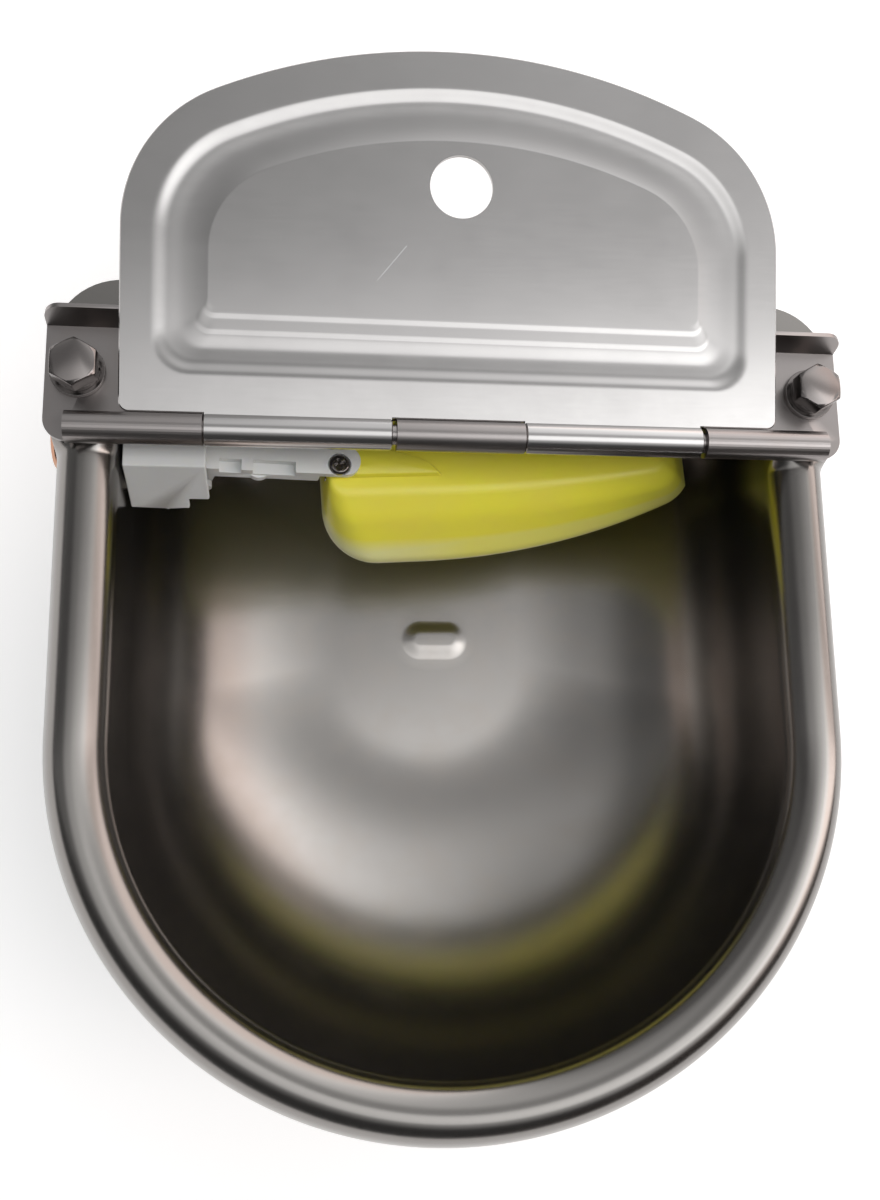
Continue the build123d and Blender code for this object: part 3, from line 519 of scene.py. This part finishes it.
def plan(half, arc_y, reach, corner, back):
    """U shaped plan of each ring, (rings, around, 2): straight side, half ellipse in front, other side,
    quarter circle, back wall, quarter circle. Each value has one number for each ring."""
    half, arc_y, reach, corner, back = (np.atleast_1d(v).astype(float)[:, None]
                                        for v in (half, arc_y, reach, corner, back))
    half, arc_y, reach, corner, back = np.broadcast_arrays(half, arc_y, reach, corner, back)
    t = side_steps()[None]
    side_x, side_y = half + 0 * t, back - corner + (arc_y - back + corner) * t
    a = -np.linspace(0, HALF_TURN, 151)[None, 1:-1]
    c = np.linspace(HALF_TURN, QUARTER, 15)[None, 1:-1]
    line = np.linspace(-1, 1, 45)[None]
    left_x, left_y = corner - half + corner * np.cos(c), back - corner + corner * np.sin(c)
    x = (side_x, half * np.cos(a), -side_x[:, ::-1], left_x, (half - corner) * line, -left_x[:, ::-1])
    y = (side_y, arc_y + reach * np.sin(a), side_y[:, ::-1], left_y, back + 0 * line, left_y[:, ::-1])
    return np.stack((np.concatenate(x, 1), np.concatenate(y, 1)), -1)


def inset(z, start, end):
    """How far a wall has come in at height z, from 0 at start to 1 at end, as a quarter ellipse."""
    s = np.clip((start - z) / (start - end), 0, 1)
    return 1 - np.sqrt(1 - s * s)


def bowl_plan(half_width, z, low, grow):
    """The bowl's plan at each height z, grown outwards by grow; low is where its floor lies."""
    side = inset(z, -SIDE_STRAIGHT, low)
    half = half_width - side * (half_width - FLOOR_HALF)
    arc_y = -FRONT_REACH + inset(z, FORM_TOP, low) * (FRONT_REACH - FLOOR_FRONT) + FRONT_RATIO * half
    back = WALL_INSIDE - inset(z, -REAR_STRAIGHT, low) * (WALL_INSIDE - FLOOR_BACK)
    corner = REAR_CORNER + side * (FLOOR_CORNER - REAR_CORNER)
    return plan(half + grow, arc_y, FRONT_RATIO * half + grow, corner + grow, back + grow)


def boss_radius(angle, r):
    """Distance from the boss's middle to an oblong outline of end radius r, in that direction."""
    cos, sin = np.abs(np.cos(angle)), np.abs(np.sin(angle))
    flat = r / np.maximum(sin, 1e-9)
    end = BOSS_STRAIGHT * cos + np.sqrt(np.maximum(r * r - (BOSS_STRAIGHT * sin) ** 2, 0))
    return np.where(flat * cos <= BOSS_STRAIGHT, flat, end)


def with_z(flat, z):
    """Rings of (x, y) with a height for each ring or point."""
    z = np.broadcast_to(z if np.ndim(z) == 2 else np.reshape(z, (-1, 1)), flat.shape[:2])
    return np.concatenate((flat, z[..., None]), -1)


def bowl_face(sizes, grow):
    """One face of the sheet, from the boss's middle over the floor and up the wall to the lip's edge.
    The floor runs in straight lines from its outline to the boss's, which rises by a smooth step. The wall
    follows quarter ellipses. The lip is a quarter circle up from the wall and a quarter ellipse out and down,
    and turns into the flat ledge by a smooth step beside the hinge."""
    half_width, sheet = sizes.half_width / MM, sizes.sheet / MM
    lip_width, lip_drop = sizes.lip_width / MM, sizes.lip_drop / MM
    low = -sizes.depth / MM - grow
    z = FORM_TOP - (FORM_TOP - low) * np.sin(np.linspace(QUARTER, 0, 44))
    form = with_z(bowl_plan(half_width, z, low, grow), z)
    centre = np.array((BOSS_X, BOSS_Y))
    edge = form[0, :, :2] - centre
    angle = np.arctan2(edge[:, 1], edge[:, 0])
    ray = np.stack((np.cos(angle), np.sin(angle)), -1)
    d = np.linspace(-BOSS_ROUND, BOSS_SLOPE + BOSS_ROUND, 18)
    radius = np.array([boss_radius(angle, BOSS_R - i) for i in d])
    boss = ray[None] * radius[..., None] + centre
    rise = smoothstep((d - d[0]) / (d[-1] - d[0])) * sizes.boss_height / MM
    boss = with_z(boss, low + rise)[::-1]
    share = np.linspace(0, 1, 9)[1:-1, None, None]
    floor = with_z(boss[-1:, :, :2] * (1 - share) + form[:1, :, :2] * share, np.full(len(share), low))
    inner = plan(half_width + grow, form_arc(half_width), FRONT_RATIO * half_width + grow,
                 REAR_CORNER + grow, WALL_BACK - sheet + grow)[0]
    outer = plan(half_width + lip_width, form_arc(half_width), FRONT_RATIO * half_width + lip_width,
                 LEDGE_CORNER, WALL_BACK)[0]
    w = smoothstep((inner[:, 1] - LIP_END_Y) / (LEDGE_START_Y - LIP_END_Y))[None]
    inner_r = LIP_INNER_R + (LEDGE_BEND_R - LIP_INNER_R) * w
    a = np.linspace(0, QUARTER, 13)[:, None]
    out = inner_r - (inner_r - grow) * np.cos(a)
    up = LEDGE_Z - inner_r + (inner_r - grow) * np.sin(a)
    a = np.linspace(0, QUARTER, 17)[1:, None]
    out = np.concatenate((out, inner_r + (lip_width - inner_r - grow * (1 - w)) * np.sin(a)))
    up = np.concatenate((up, LEDGE_Z - grow - (lip_drop - grow) * (1 - w) * (1 - np.cos(a))))
    share = ((out - grow) / (lip_width - grow))[..., None]
    lip = with_z(inner[None] + share * (outer - inner)[None], up)
    return np.concatenate((boss, floor, form, lip))


def form_arc(half_width):
    """Where the straight sides meet the front arc, at the bowl's mouth."""
    return -FRONT_REACH + FRONT_RATIO * half_width


def bowl_mesh(sizes):
    """The bowl's two faces joined at the lip's edge, with the two wall holes cut."""
    inside, outside = bowl_face(sizes, 0.0), bowl_face(sizes, sizes.sheet / MM)
    mesh = ring_mesh("bowl_shell", [(np.concatenate((inside, outside[::-1])), "fan")])
    obj = bpy.data.objects.new("bowl_cut", mesh)
    circle = disc_points(WALL_HOLE_R, (0.0, WALL_HOLE_Z), 48)
    drills = []
    for x in (-WALL_HOLE_X, WALL_HOLE_X):
        rings = [np.column_stack((circle[:, 0] + x, np.full(len(circle), y), circle[:, 1]))
                 for y in (WALL_BACK - DRILL_BEFORE, WALL_BACK + DRILL_BEHIND)]
        drills.append((np.array(rings), "fan"))
    drill = bpy.data.objects.new("drill", ring_mesh("drill", drills))
    for o in (obj, drill):
        bpy.context.scene.collection.objects.link(o)
    cut = obj.modifiers.new("holes", "BOOLEAN")
    cut.operation, cut.object, cut.solver = "DIFFERENCE", drill, "EXACT"
    bpy.context.view_layer.update()
    made = bpy.data.meshes.new_from_object(obj.evaluated_get(bpy.context.evaluated_depsgraph_get()))
    for o in (obj, drill):
        bpy.data.objects.remove(o)
    finish_shading(made, 38.0)
    return made


# ------------------------------------------------------------------ guard flap
def d_plan(half, bottom, top, corner, arc, foot):
    """D shaped plan of each ring, (rings, around, 2): bottom line, small foot corner, straight side, big
    corner, top arc and back down the other side. Each value has one number for each ring."""
    half, bottom, top, corner, arc, foot = np.broadcast_arrays(
        *(np.atleast_1d(v).astype(float)[:, None] for v in (half, bottom, top, corner, arc, foot)))
    middle_y = top - arc
    cx = half - corner
    cy = middle_y + np.sqrt((arc - corner) ** 2 - cx ** 2)
    lean = np.arctan2(cx, cy - middle_y)
    s = bottom_steps()[None]
    a = np.linspace(-QUARTER, 0, FOOT_N)[None, 1:-1]
    t = np.linspace(0, 1, SIDE_N)[None]
    c = np.linspace(0, 1, CORNER_N)[None, 1:-1]
    line_x = (half - foot) * s
    foot_x, foot_y = half - foot + foot * np.cos(a), bottom + foot + foot * np.sin(a)
    side_y = bottom + foot + (cy - bottom - foot) * t
    sweep = c * (QUARTER - lean)
    corner_x, corner_y = cx + corner * np.cos(sweep), cy + corner * np.sin(sweep)
    over = np.linspace(-1, 1, ARC_N)[None] * lean
    arc_x, arc_y = -arc * np.sin(over), middle_y + arc * np.cos(over)
    x = (line_x, foot_x, half + 0 * t, corner_x, arc_x, -corner_x[:, ::-1], -half - 0 * t,
         -foot_x[:, ::-1])
    y = (bottom + 0 * s, foot_y, side_y, corner_y, arc_y, corner_y[:, ::-1], side_y[:, ::-1],
         foot_y[:, ::-1])
    return np.stack((np.concatenate(x, 1), np.concatenate(y, 1)), -1)


def bottom_steps():
    """Shares along the bottom line, doubled where a knuckle's strip begins or ends."""
    reach = FLAP["half"] - FLAP["foot"]
    marks = [x / reach for pair in FLAP_KNUCKLES for x in pair]
    ends = [-1.0] + marks + [1.0]
    return np.concatenate([np.linspace(p, q, STRETCH_N) for p, q in zip(ends[:-1], ends[1:])])


def strip_points():
    """Which of the bottom line's points lie on a knuckle's strip."""
    inside = np.zeros((2 * len(FLAP_KNUCKLES) + 1, STRETCH_N), bool)
    inside[1::2] = True
    return inside.ravel()


def foot_share():
    """One along the dish's straight foot, fading to zero round its two small corners, for each point."""
    down = np.linspace(1, 0, FOOT_N)[1:-1]
    rest = ARC_N + 2 * (SIDE_N + CORNER_N - 2)
    return np.concatenate((np.ones(len(strip_points())), down, np.zeros(rest), down[::-1]))


def dish_fall(sizes, d, foot_d):
    """How deep the dish lies at a distance in from its outline, (rings, around): a rim falls by a straight
    ramp with parabolas, a trough runs on by a smooth step, and a plateau rises by a parabola at the sides,
    and by small smooth steps along the foot."""
    depth = sizes.dish_depth / MM
    slope = depth * RIM_SHARE / RIM_WIDTH
    fall = slope * (ramp(d + RIM_OUT, RIM_BEND) - ramp(d + RIM_OUT - RIM_WIDTH, RIM_BEND))
    fall += depth * (1 - RIM_SHARE) * smoothstep((d - RIM_WIDTH + 1) / (TROUGH_D - RIM_WIDTH + 1))
    side = PLATEAU_RISE * np.clip((d - TROUGH_D) / (PLATEAU_D - TROUGH_D), 0, 1) ** 2
    foot = sum(rise * smoothstep((foot_d - start) / width) for start, width, rise in FOOT_RISES)
    share = foot_share()[None]
    return fall[:, None] - side[:, None] * (1 - share) - foot[:, None] * share


def flap_face(sizes, side):
    """Upper (side 1) or lower (side -1) face from the hole's edge over the dish to the outline."""
    half_leaf = sizes.leaf / MM / 2
    d = np.concatenate((np.linspace(-3.0, 6.5, 20), np.linspace(7.0, 10.8, 8), np.linspace(11.0, 12.6, 9),
                        np.linspace(12.9, 15.3, 13)))
    foot_d = np.where(d < FOOT_STEP, d, FOOT_STEP + (d - FOOT_STEP) * FOOT_BAND / SIDE_BAND)
    wall = d_plan(DISH["half"] - d, DISH["bottom"] + foot_d, DISH["top"] - d, DISH["corner"] - d / 2,
                  DISH["arc"] - d, DISH["foot"] - d / 2)
    fall = dish_fall(sizes, d, foot_d)
    wall = with_z(wall, side * half_leaf - fall)[::-1]
    ray = wall[0, :, :2] - FLAP_HOLE
    hole = ray / np.linalg.norm(ray, axis=1, keepdims=True) * FLAP_HOLE_R + FLAP_HOLE
    share = np.linspace(0, 1, 8)[:-1, None, None]
    floor = with_z(hole[None] * (1 - share) + wall[:1, :, :2] * share,
                   np.tile(wall[:1, :, 2], (len(share), 1)))
    edge = sizes.metal_edge / MM
    rim = []
    for inward, height in ((NECK, half_leaf), (edge, half_leaf), (0.0, half_leaf - edge)):
        ring = d_plan(FLAP["half"] - inward, FLAP["bottom"] + inward, FLAP["top"] - inward,
                      FLAP["corner"] - inward, FLAP["arc"] - inward, FLAP["foot"] - inward)[0]
        if inward < NECK:
            strip = strip_points()
            ring[:len(strip), 1][strip] = STRIP_FOOT
        rim.append(with_z(ring[None], side * height))
    share = np.linspace(0, 1, 5)[1:-1, None, None]
    border = wall[-1:] * (1 - share) + rim[0] * share
    return np.concatenate((floor, wall, border, *rim))


def flap_mesh(sizes):
    """The flap's two faces and its two knuckles, turned to where the flap rests."""
    plate = np.concatenate((flap_face(sizes, 1), flap_face(sizes, -1)[::-1]))
    shells = [(plate, "loop")] + [tube(x0, x1, KNUCKLE_R, BORE_R, KNUCKLE_EDGE) for x0, x1 in FLAP_KNUCKLES]
    turn = math.radians(REST_DEG)
    rotate = np.array(((1, 0, 0), (0, math.cos(turn), -math.sin(turn)), (0, math.sin(turn), math.cos(turn))))
    turned = [(rings @ rotate.T + (FLAP_SHIFT, 0, 0), ends) for rings, ends in shells]
    return ring_mesh("guard_flap_plate", turned)


# ------------------------------------------------------------------ float
def float_outline(half, tip, corner, start, end):
    """Outline of the float at one height, (around, 2): blunt left end, rounded corner, straight side, an arc
    that closes in, and an arc round the narrow end that keeps its tangent; then the same mirrored."""
    x0, x1 = FLOAT_LEFT + start, FLOAT_RIGHT - end
    turn_x, flat_end = x1 - tip * 0.7, tip * 0.45
    radius = ((turn_x - FLOAT_STRAIGHT) ** 2 + (half - tip) ** 2) / (2 * (half - tip))
    alpha = math.asin((turn_x - FLOAT_STRAIGHT) / radius)
    a = np.linspace(HALF_TURN, QUARTER, 14)
    b = QUARTER - np.linspace(0, alpha, 48)
    normal = np.array((-math.sin(alpha), -math.cos(alpha)))
    chord = np.array((x1 - turn_x, flat_end - tip))
    tip_r = chord @ chord / (2 * chord @ normal)
    centre = np.array((turn_x, tip)) + tip_r * normal
    first = math.atan2(tip - centre[1], turn_x - centre[0])
    last = math.atan2(flat_end - centre[1], x1 - centre[0])
    e = np.linspace(first, last, 14)[1:]
    left, right = np.linspace(0, half - corner, 8)[:-1], np.linspace(flat_end, 0, 5)[1:]
    straight = np.linspace(x0 + corner, FLOAT_STRAIGHT, 9)[1:-1]
    x = np.concatenate((x0 + 0 * left, x0 + corner + corner * np.cos(a), straight,
                        FLOAT_STRAIGHT + radius * np.cos(b), centre[0] + tip_r * np.cos(e), x1 + 0 * right))
    y = np.concatenate((left, half - corner + corner * np.sin(a), half + 0 * straight,
                        half - radius + radius * np.sin(b), centre[1] + tip_r * np.sin(e), right))
    return np.column_stack((np.concatenate((x, x[-2:0:-1])), np.concatenate((y, -y[-2:0:-1]))))


def float_shells():
    """Hull and raised seat. The hull's rings join five outlines, and its top and bottom close on a line."""
    # height, then the outline's half width, tip, corner, start and end
    levels = ((-17.0, 20.0, 6.5, 12.0, 9.0, 12.0), (-12.0, 26.0, 9.6, 16.0, 3.0, 4.0),
              (-3.0, 29.0, 11.6, 18.0, 0.0, 0.0), (12.0, 17.4, 9.4, 9.0, 0.5, 11.0),
              (16.9, 9.7, 4.6, 5.0, 1.0, 18.0))
    outlines = [np.column_stack((o, np.full(len(o), z)))
                for z, o in ((level[0], float_outline(*level[1:])) for level in levels)]
    spines = []
    for outline, inward in ((outlines[0], 14.0), (outlines[-1], 4.0)):
        spine = outline * (1, 0, 1)
        spine[:, 0] = np.clip(spine[:, 0], spine[:, 0].min() + inward, spine[:, 0].max() - inward)
        spines.append(spine)
    control = np.array([spines[0], *outlines, spines[1]])
    hull = rounded_path(control, (5.0, 5.0, 4.0, 3.0, 2.2), 9)
    corners = np.array(((-2, -4.5), (33, -4.5), (28.7, 0), (14, 4.5), (-2, 4.5)), float)
    loop = np.vstack((corners[-1:], corners, corners[:1]))[:, None, :]
    loop = np.concatenate((loop, np.zeros((len(loop), 1, 1))), -1)
    edge = rounded_path(loop, (2.0, 2.0, 3.0, 4.0, 2.0), 8)[1:-1, 0, :2]
    middle = np.array((11.0, 0.0))
    rings = []
    for height, grow in ((SEAT_TOP - 3.0, 1.12), (SEAT_TOP - 2.0, 1.08), (SEAT_TOP - 1.3, 1.02),
                         (SEAT_TOP - 0.5, 0.985), (SEAT_TOP - 0.15, 0.96), (SEAT_TOP, 0.91)):
        ring = middle + (edge - middle) * (1 + (grow - 1) * 0.6, grow)
        rings.append(np.column_stack((ring, np.full(len(edge), height))))
    return [(hull, "line"), (np.array(rings), "fan")]


def hang(points):
    """From a level arm with zero on its pivot to where the arm hangs at rest."""
    a = math.radians(TILT_DEG)
    turn = np.array(((math.cos(a), 0, math.sin(a)), (0, 1, 0), (-math.sin(a), 0, math.cos(a))))
    return points @ turn.T + PIVOT


def float_mesh():
    """The float, skewed on its arm and hung at rest."""
    a = math.radians(SKEW_DEG)
    turn = np.array(((math.cos(a), -math.sin(a), 0), (math.sin(a), math.cos(a), 0), (0, 0, 1)))
    placed = [(hang(rings @ turn.T + (FLOAT_X, FLOAT_Y, 0)), ends) for rings, ends in float_shells()]
    return ring_mesh("float_hull", placed, 50.0)


# ------------------------------------------------------------------ operators
class DRINKER_OT_finishes(bpy.types.Operator):
    """Make the steel, plastic, brass and rubber materials"""
    bl_idname = "drinker.finishes"
    bl_label = "Finishes"

    def execute(self, context):
        build_materials(context.scene.drinker_colours)
        return {"FINISHED"}


class DRINKER_OT_bowl(bpy.types.Operator):
    """Make the drawn bowl with its rolled lip, ledges, boss and wall holes"""
    bl_idname = "drinker.bowl"
    bl_label = "Bowl"

    def execute(self, context):
        mesh = bowl_mesh(context.scene.drinker_sizes)
        put("bowl_shell", mesh, "bowl_frame", MATERIALS["bowl"], ("bowl",))
        return {"FINISHED"}


class DRINKER_OT_guard_flap(bpy.types.Operator):
    """Make the pressed guard flap with its knuckles"""
    bl_idname = "drinker.guard_flap"
    bl_label = "Guard flap"

    def execute(self, context):
        mesh = flap_mesh(context.scene.drinker_sizes)
        put("guard_flap_plate", mesh, "flap", MATERIALS["flap"], ("guard_flap",))
        return {"FINISHED"}


class DRINKER_OT_float(bpy.types.Operator):
    """Make the float with its seat"""
    bl_idname = "drinker.float_hull"
    bl_label = "Float"

    def execute(self, context):
        put("float_hull", float_mesh(), "lever", MATERIALS["yellow"], ("float",))
        return {"FINISHED"}


class DRINKER_OT_small_parts(bpy.types.Operator):
    """Round the edges of the plate, fasteners, inlet, valve and lever, and give them their finishes"""
    bl_idname = "drinker.small_parts"
    bl_label = "Plate, fasteners and valve"

    def execute(self, context):
        sizes = context.scene.drinker_sizes
        metal, plastic_edge = sizes.metal_edge, sizes.plastic_edge
        thin, nut_edge, arm_edge, screw_edge = 0.0002, 0.0003, 0.0004, 0.00015
        rows = (
            ("bridge_plate", metal, "bowl_frame", "stainless_sheet", "plate"),
            ("hinge_pin", thin, "bowl_frame", "stainless_pin", "pin"),
            ("bridge_bolts", metal, "bowl_frame", "zinc_steel", "zinc"),
            ("bolt_washers", thin, "bowl_frame", "zinc_steel", "zinc"),
            ("spring_washers", thin, "bowl_frame", "zinc_steel", "zinc"),
            ("under_washers", thin, "bowl_frame", "zinc_steel", "zinc"),
            ("bolt_nuts", thin, "bowl_frame", "zinc_steel", "zinc"),
            ("inlet_connector", thin, "bowl_frame", "brass", "brass"),
            ("inlet_locknut", nut_edge, "bowl_frame", "brass", "brass"),
            ("inlet_gasket", thin, "bowl_frame", "black_rubber", "rubber"),
            ("inner_gasket", thin, "bowl_frame", "black_rubber", "rubber"),
            ("valve_body", plastic_edge, "bowl_frame", "white_plastic", "white"),
            ("valve_cap", plastic_edge, "bowl_frame", "white_plastic", "white"),
            ("lever_pivot_pin", thin, "bowl_frame", "stainless_pin", "pin"),
            ("lever_arm", arm_edge, "lever", "white_plastic", "white"),
            ("float_screw", screw_edge, "lever", "zinc_steel", "zinc"),
        )
        for node, width, body, slot, finish in rows:
            softened(node, width, body, MATERIALS[finish], node + "_soft")
        for node, finish in (("valve_nozzle", "white"), ("seal_disc", "rubber"), ("valve_plunger", "white"),
                             ("float_nut", "zinc")):
            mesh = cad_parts[node].data
            mesh.materials.clear()
            mesh.materials.append(MATERIALS[finish])
        return {"FINISHED"}


class DRINKER_OT_stage(bpy.types.Operator):
    """Make the floor, the light and the camera"""
    bl_idname = "drinker.stage"
    bl_label = "Floor, light and camera"

    def execute(self, context):
        stage = context.scene.drinker_stage
        build_world(stage.sky, stage.lamp, stage.window, stage.surround)
        build_floor(stage.floor_drop)
        build_camera()
        context.scene.view_settings.view_transform = "Standard"
        return {"FINISHED"}


def build_world(sky, lamp, window, surround):
    """The studio's light by direction. A soft light lies overhead and ends towards the front, a lamp strip is
    added just in front of the middle and a back light behind it. Their sum is multiplied by smooth steps
    that rise to the right, and fades out at the horizon. It stands on an even surround and turns warm at
    the far right. The camera itself sees plain white."""
    world = bpy.data.worlds.new("studio")
    bpy.context.scene.world = world
    world.use_nodes = True
    world.node_tree.nodes.clear()
    w = Wiring(world.node_tree)
    x, y, z = w.axes(w.add("ShaderNodeTexCoord").outputs["Generated"])
    high = w.maths("MAXIMUM", z, LEAST_HEIGHT)
    across, along = w.maths("DIVIDE", x, high), w.maths("DIVIDE", y, high)
    sideways = SIDE_LEVEL
    for start, end, step in SIDE_STEPS:
        sideways = w.maths("ADD", w.maths("MULTIPLY", w.band(across, start, end), step), sideways)
    overhead = w.maths("MULTIPLY", w.band(along, *OVERHEAD_SPAN), sky)
    strip = w.maths("MULTIPLY", w.band(along, *STRIP_START), w.band(along, *STRIP_END), lamp)
    back = w.maths("MULTIPLY", w.band(along, *BACK_SPAN), window)
    level = w.maths("MULTIPLY", w.maths("ADD", overhead, strip, back), sideways, w.band(z, *HORIZON))
    light, white = w.add("ShaderNodeBackground"), w.add("ShaderNodeBackground")
    w.join(w.mix(w.band(across, *WARM_SPAN), (1.0, 1.0, 1.0), WARM), light.inputs["Color"])
    w.join(w.maths("ADD", level, surround), light.inputs["Strength"])
    white.inputs["Color"].default_value = (1.0, 1.0, 1.0, 1.0)
    shown = w.add("ShaderNodeMixShader")
    sources = (w.add("ShaderNodeLightPath").outputs["Is Camera Ray"], light.outputs[0], white.outputs[0])
    for source, socket in zip(sources, shown.inputs):
        w.join(source, socket)
    w.join(shown.outputs[0], w.add("ShaderNodeOutputWorld").inputs["Surface"])


def build_floor(gap):
    """A wide pale disc under the bowl. It glows enough to look white where nothing shades it."""
    circle = disc_points(FLOOR_R, (0.0, FLOOR_Y), 96)
    points = np.column_stack((circle, np.full(len(circle), CAD_BOX[0][2] - gap)))
    mesh = bpy.data.meshes.new("floor")
    mesh.from_pydata(points.tolist(), [], [list(range(len(points)))])
    floor = bpy.data.objects.new("floor", mesh)
    bpy.context.scene.collection.objects.link(floor)
    material = bpy.data.materials.new("pale floor")
    material.use_nodes = True
    material.node_tree.nodes.clear()
    w = Wiring(material.node_tree)
    matt, glow = w.add("ShaderNodeBsdfDiffuse"), w.add("ShaderNodeEmission")
    matt.inputs["Color"].default_value = (FLOOR_TONE, FLOOR_TONE, FLOOR_TONE, 1.0)
    path = w.add("ShaderNodeLightPath").outputs
    seen = w.maths("MAXIMUM", path["Is Camera Ray"], path["Is Glossy Ray"], path["Is Transmission Ray"])
    w.join(w.maths("MULTIPLY", seen, FLOOR_GLOW), glow.inputs["Strength"])
    total = w.add("ShaderNodeAddShader")
    for source, socket in zip((matt, glow), total.inputs):
        w.join(source.outputs[0], socket)
    w.join(total.outputs[0], w.add("ShaderNodeOutputMaterial").inputs["Surface"])
    mesh.materials.append(material)


def build_camera():
    """The camera above the bowl's front, looking down and a little back."""
    data = bpy.data.cameras.new("camera")
    data.lens = CAMERA_LENS
    data.sensor_width = CAMERA_SENSOR
    camera = bpy.data.objects.new("camera", data)
    bpy.context.scene.collection.objects.link(camera)
    back = np.array(CAMERA_BACK) / np.linalg.norm(CAMERA_BACK)
    up = np.cross(back, CAMERA_RIGHT)
    up /= np.linalg.norm(up)
    turn = np.column_stack((np.cross(up, back), up, back))
    matrix = Matrix(turn.tolist()).to_4x4()
    matrix.translation = CAMERA_PLACE
    camera.matrix_world = matrix
    bpy.context.scene.camera = camera


STEPS = (DRINKER_OT_finishes, DRINKER_OT_bowl, DRINKER_OT_guard_flap, DRINKER_OT_float,
         DRINKER_OT_small_parts, DRINKER_OT_stage)


class DRINKER_PT_panel(bpy.types.Panel):
    """The steps in order, with the sizes and colours"""
    bl_label = "Drinking bowl"
    bl_idname = "DRINKER_PT_panel"
    bl_space_type = "VIEW_3D"
    bl_region_type = "UI"
    bl_category = "Drinker"

    def draw(self, context):
        for step in STEPS:
            self.layout.operator(step.bl_idname)
        for group in ("drinker_sizes", "drinker_colours", "drinker_stage"):
            column = self.layout.column(align=True)
            holder = getattr(context.scene, group)
            for key in holder.__annotations__:
                column.prop(holder, key)


CLASSES = (DrinkerSizes, DrinkerColours, DrinkerStage, *STEPS, DRINKER_PT_panel)


def register():
    """Add the classes and their settings to Blender."""
    for cls in CLASSES:
        bpy.utils.register_class(cls)
    bpy.types.Scene.drinker_sizes = bpy.props.PointerProperty(type=DrinkerSizes)
    bpy.types.Scene.drinker_colours = bpy.props.PointerProperty(type=DrinkerColours)
    bpy.types.Scene.drinker_stage = bpy.props.PointerProperty(type=DrinkerStage)


def unregister():
    """Take them out again."""
    for key in ("drinker_sizes", "drinker_colours", "drinker_stage"):
        delattr(bpy.types.Scene, key)
    for cls in reversed(CLASSES):
        bpy.utils.unregister_class(cls)


def main():
    """Build everything in order."""
    register()
    for step in STEPS:
        group, call = step.bl_idname.split(".")
        getattr(getattr(bpy.ops, group), call)()


if __name__ == "__main__":
    main()
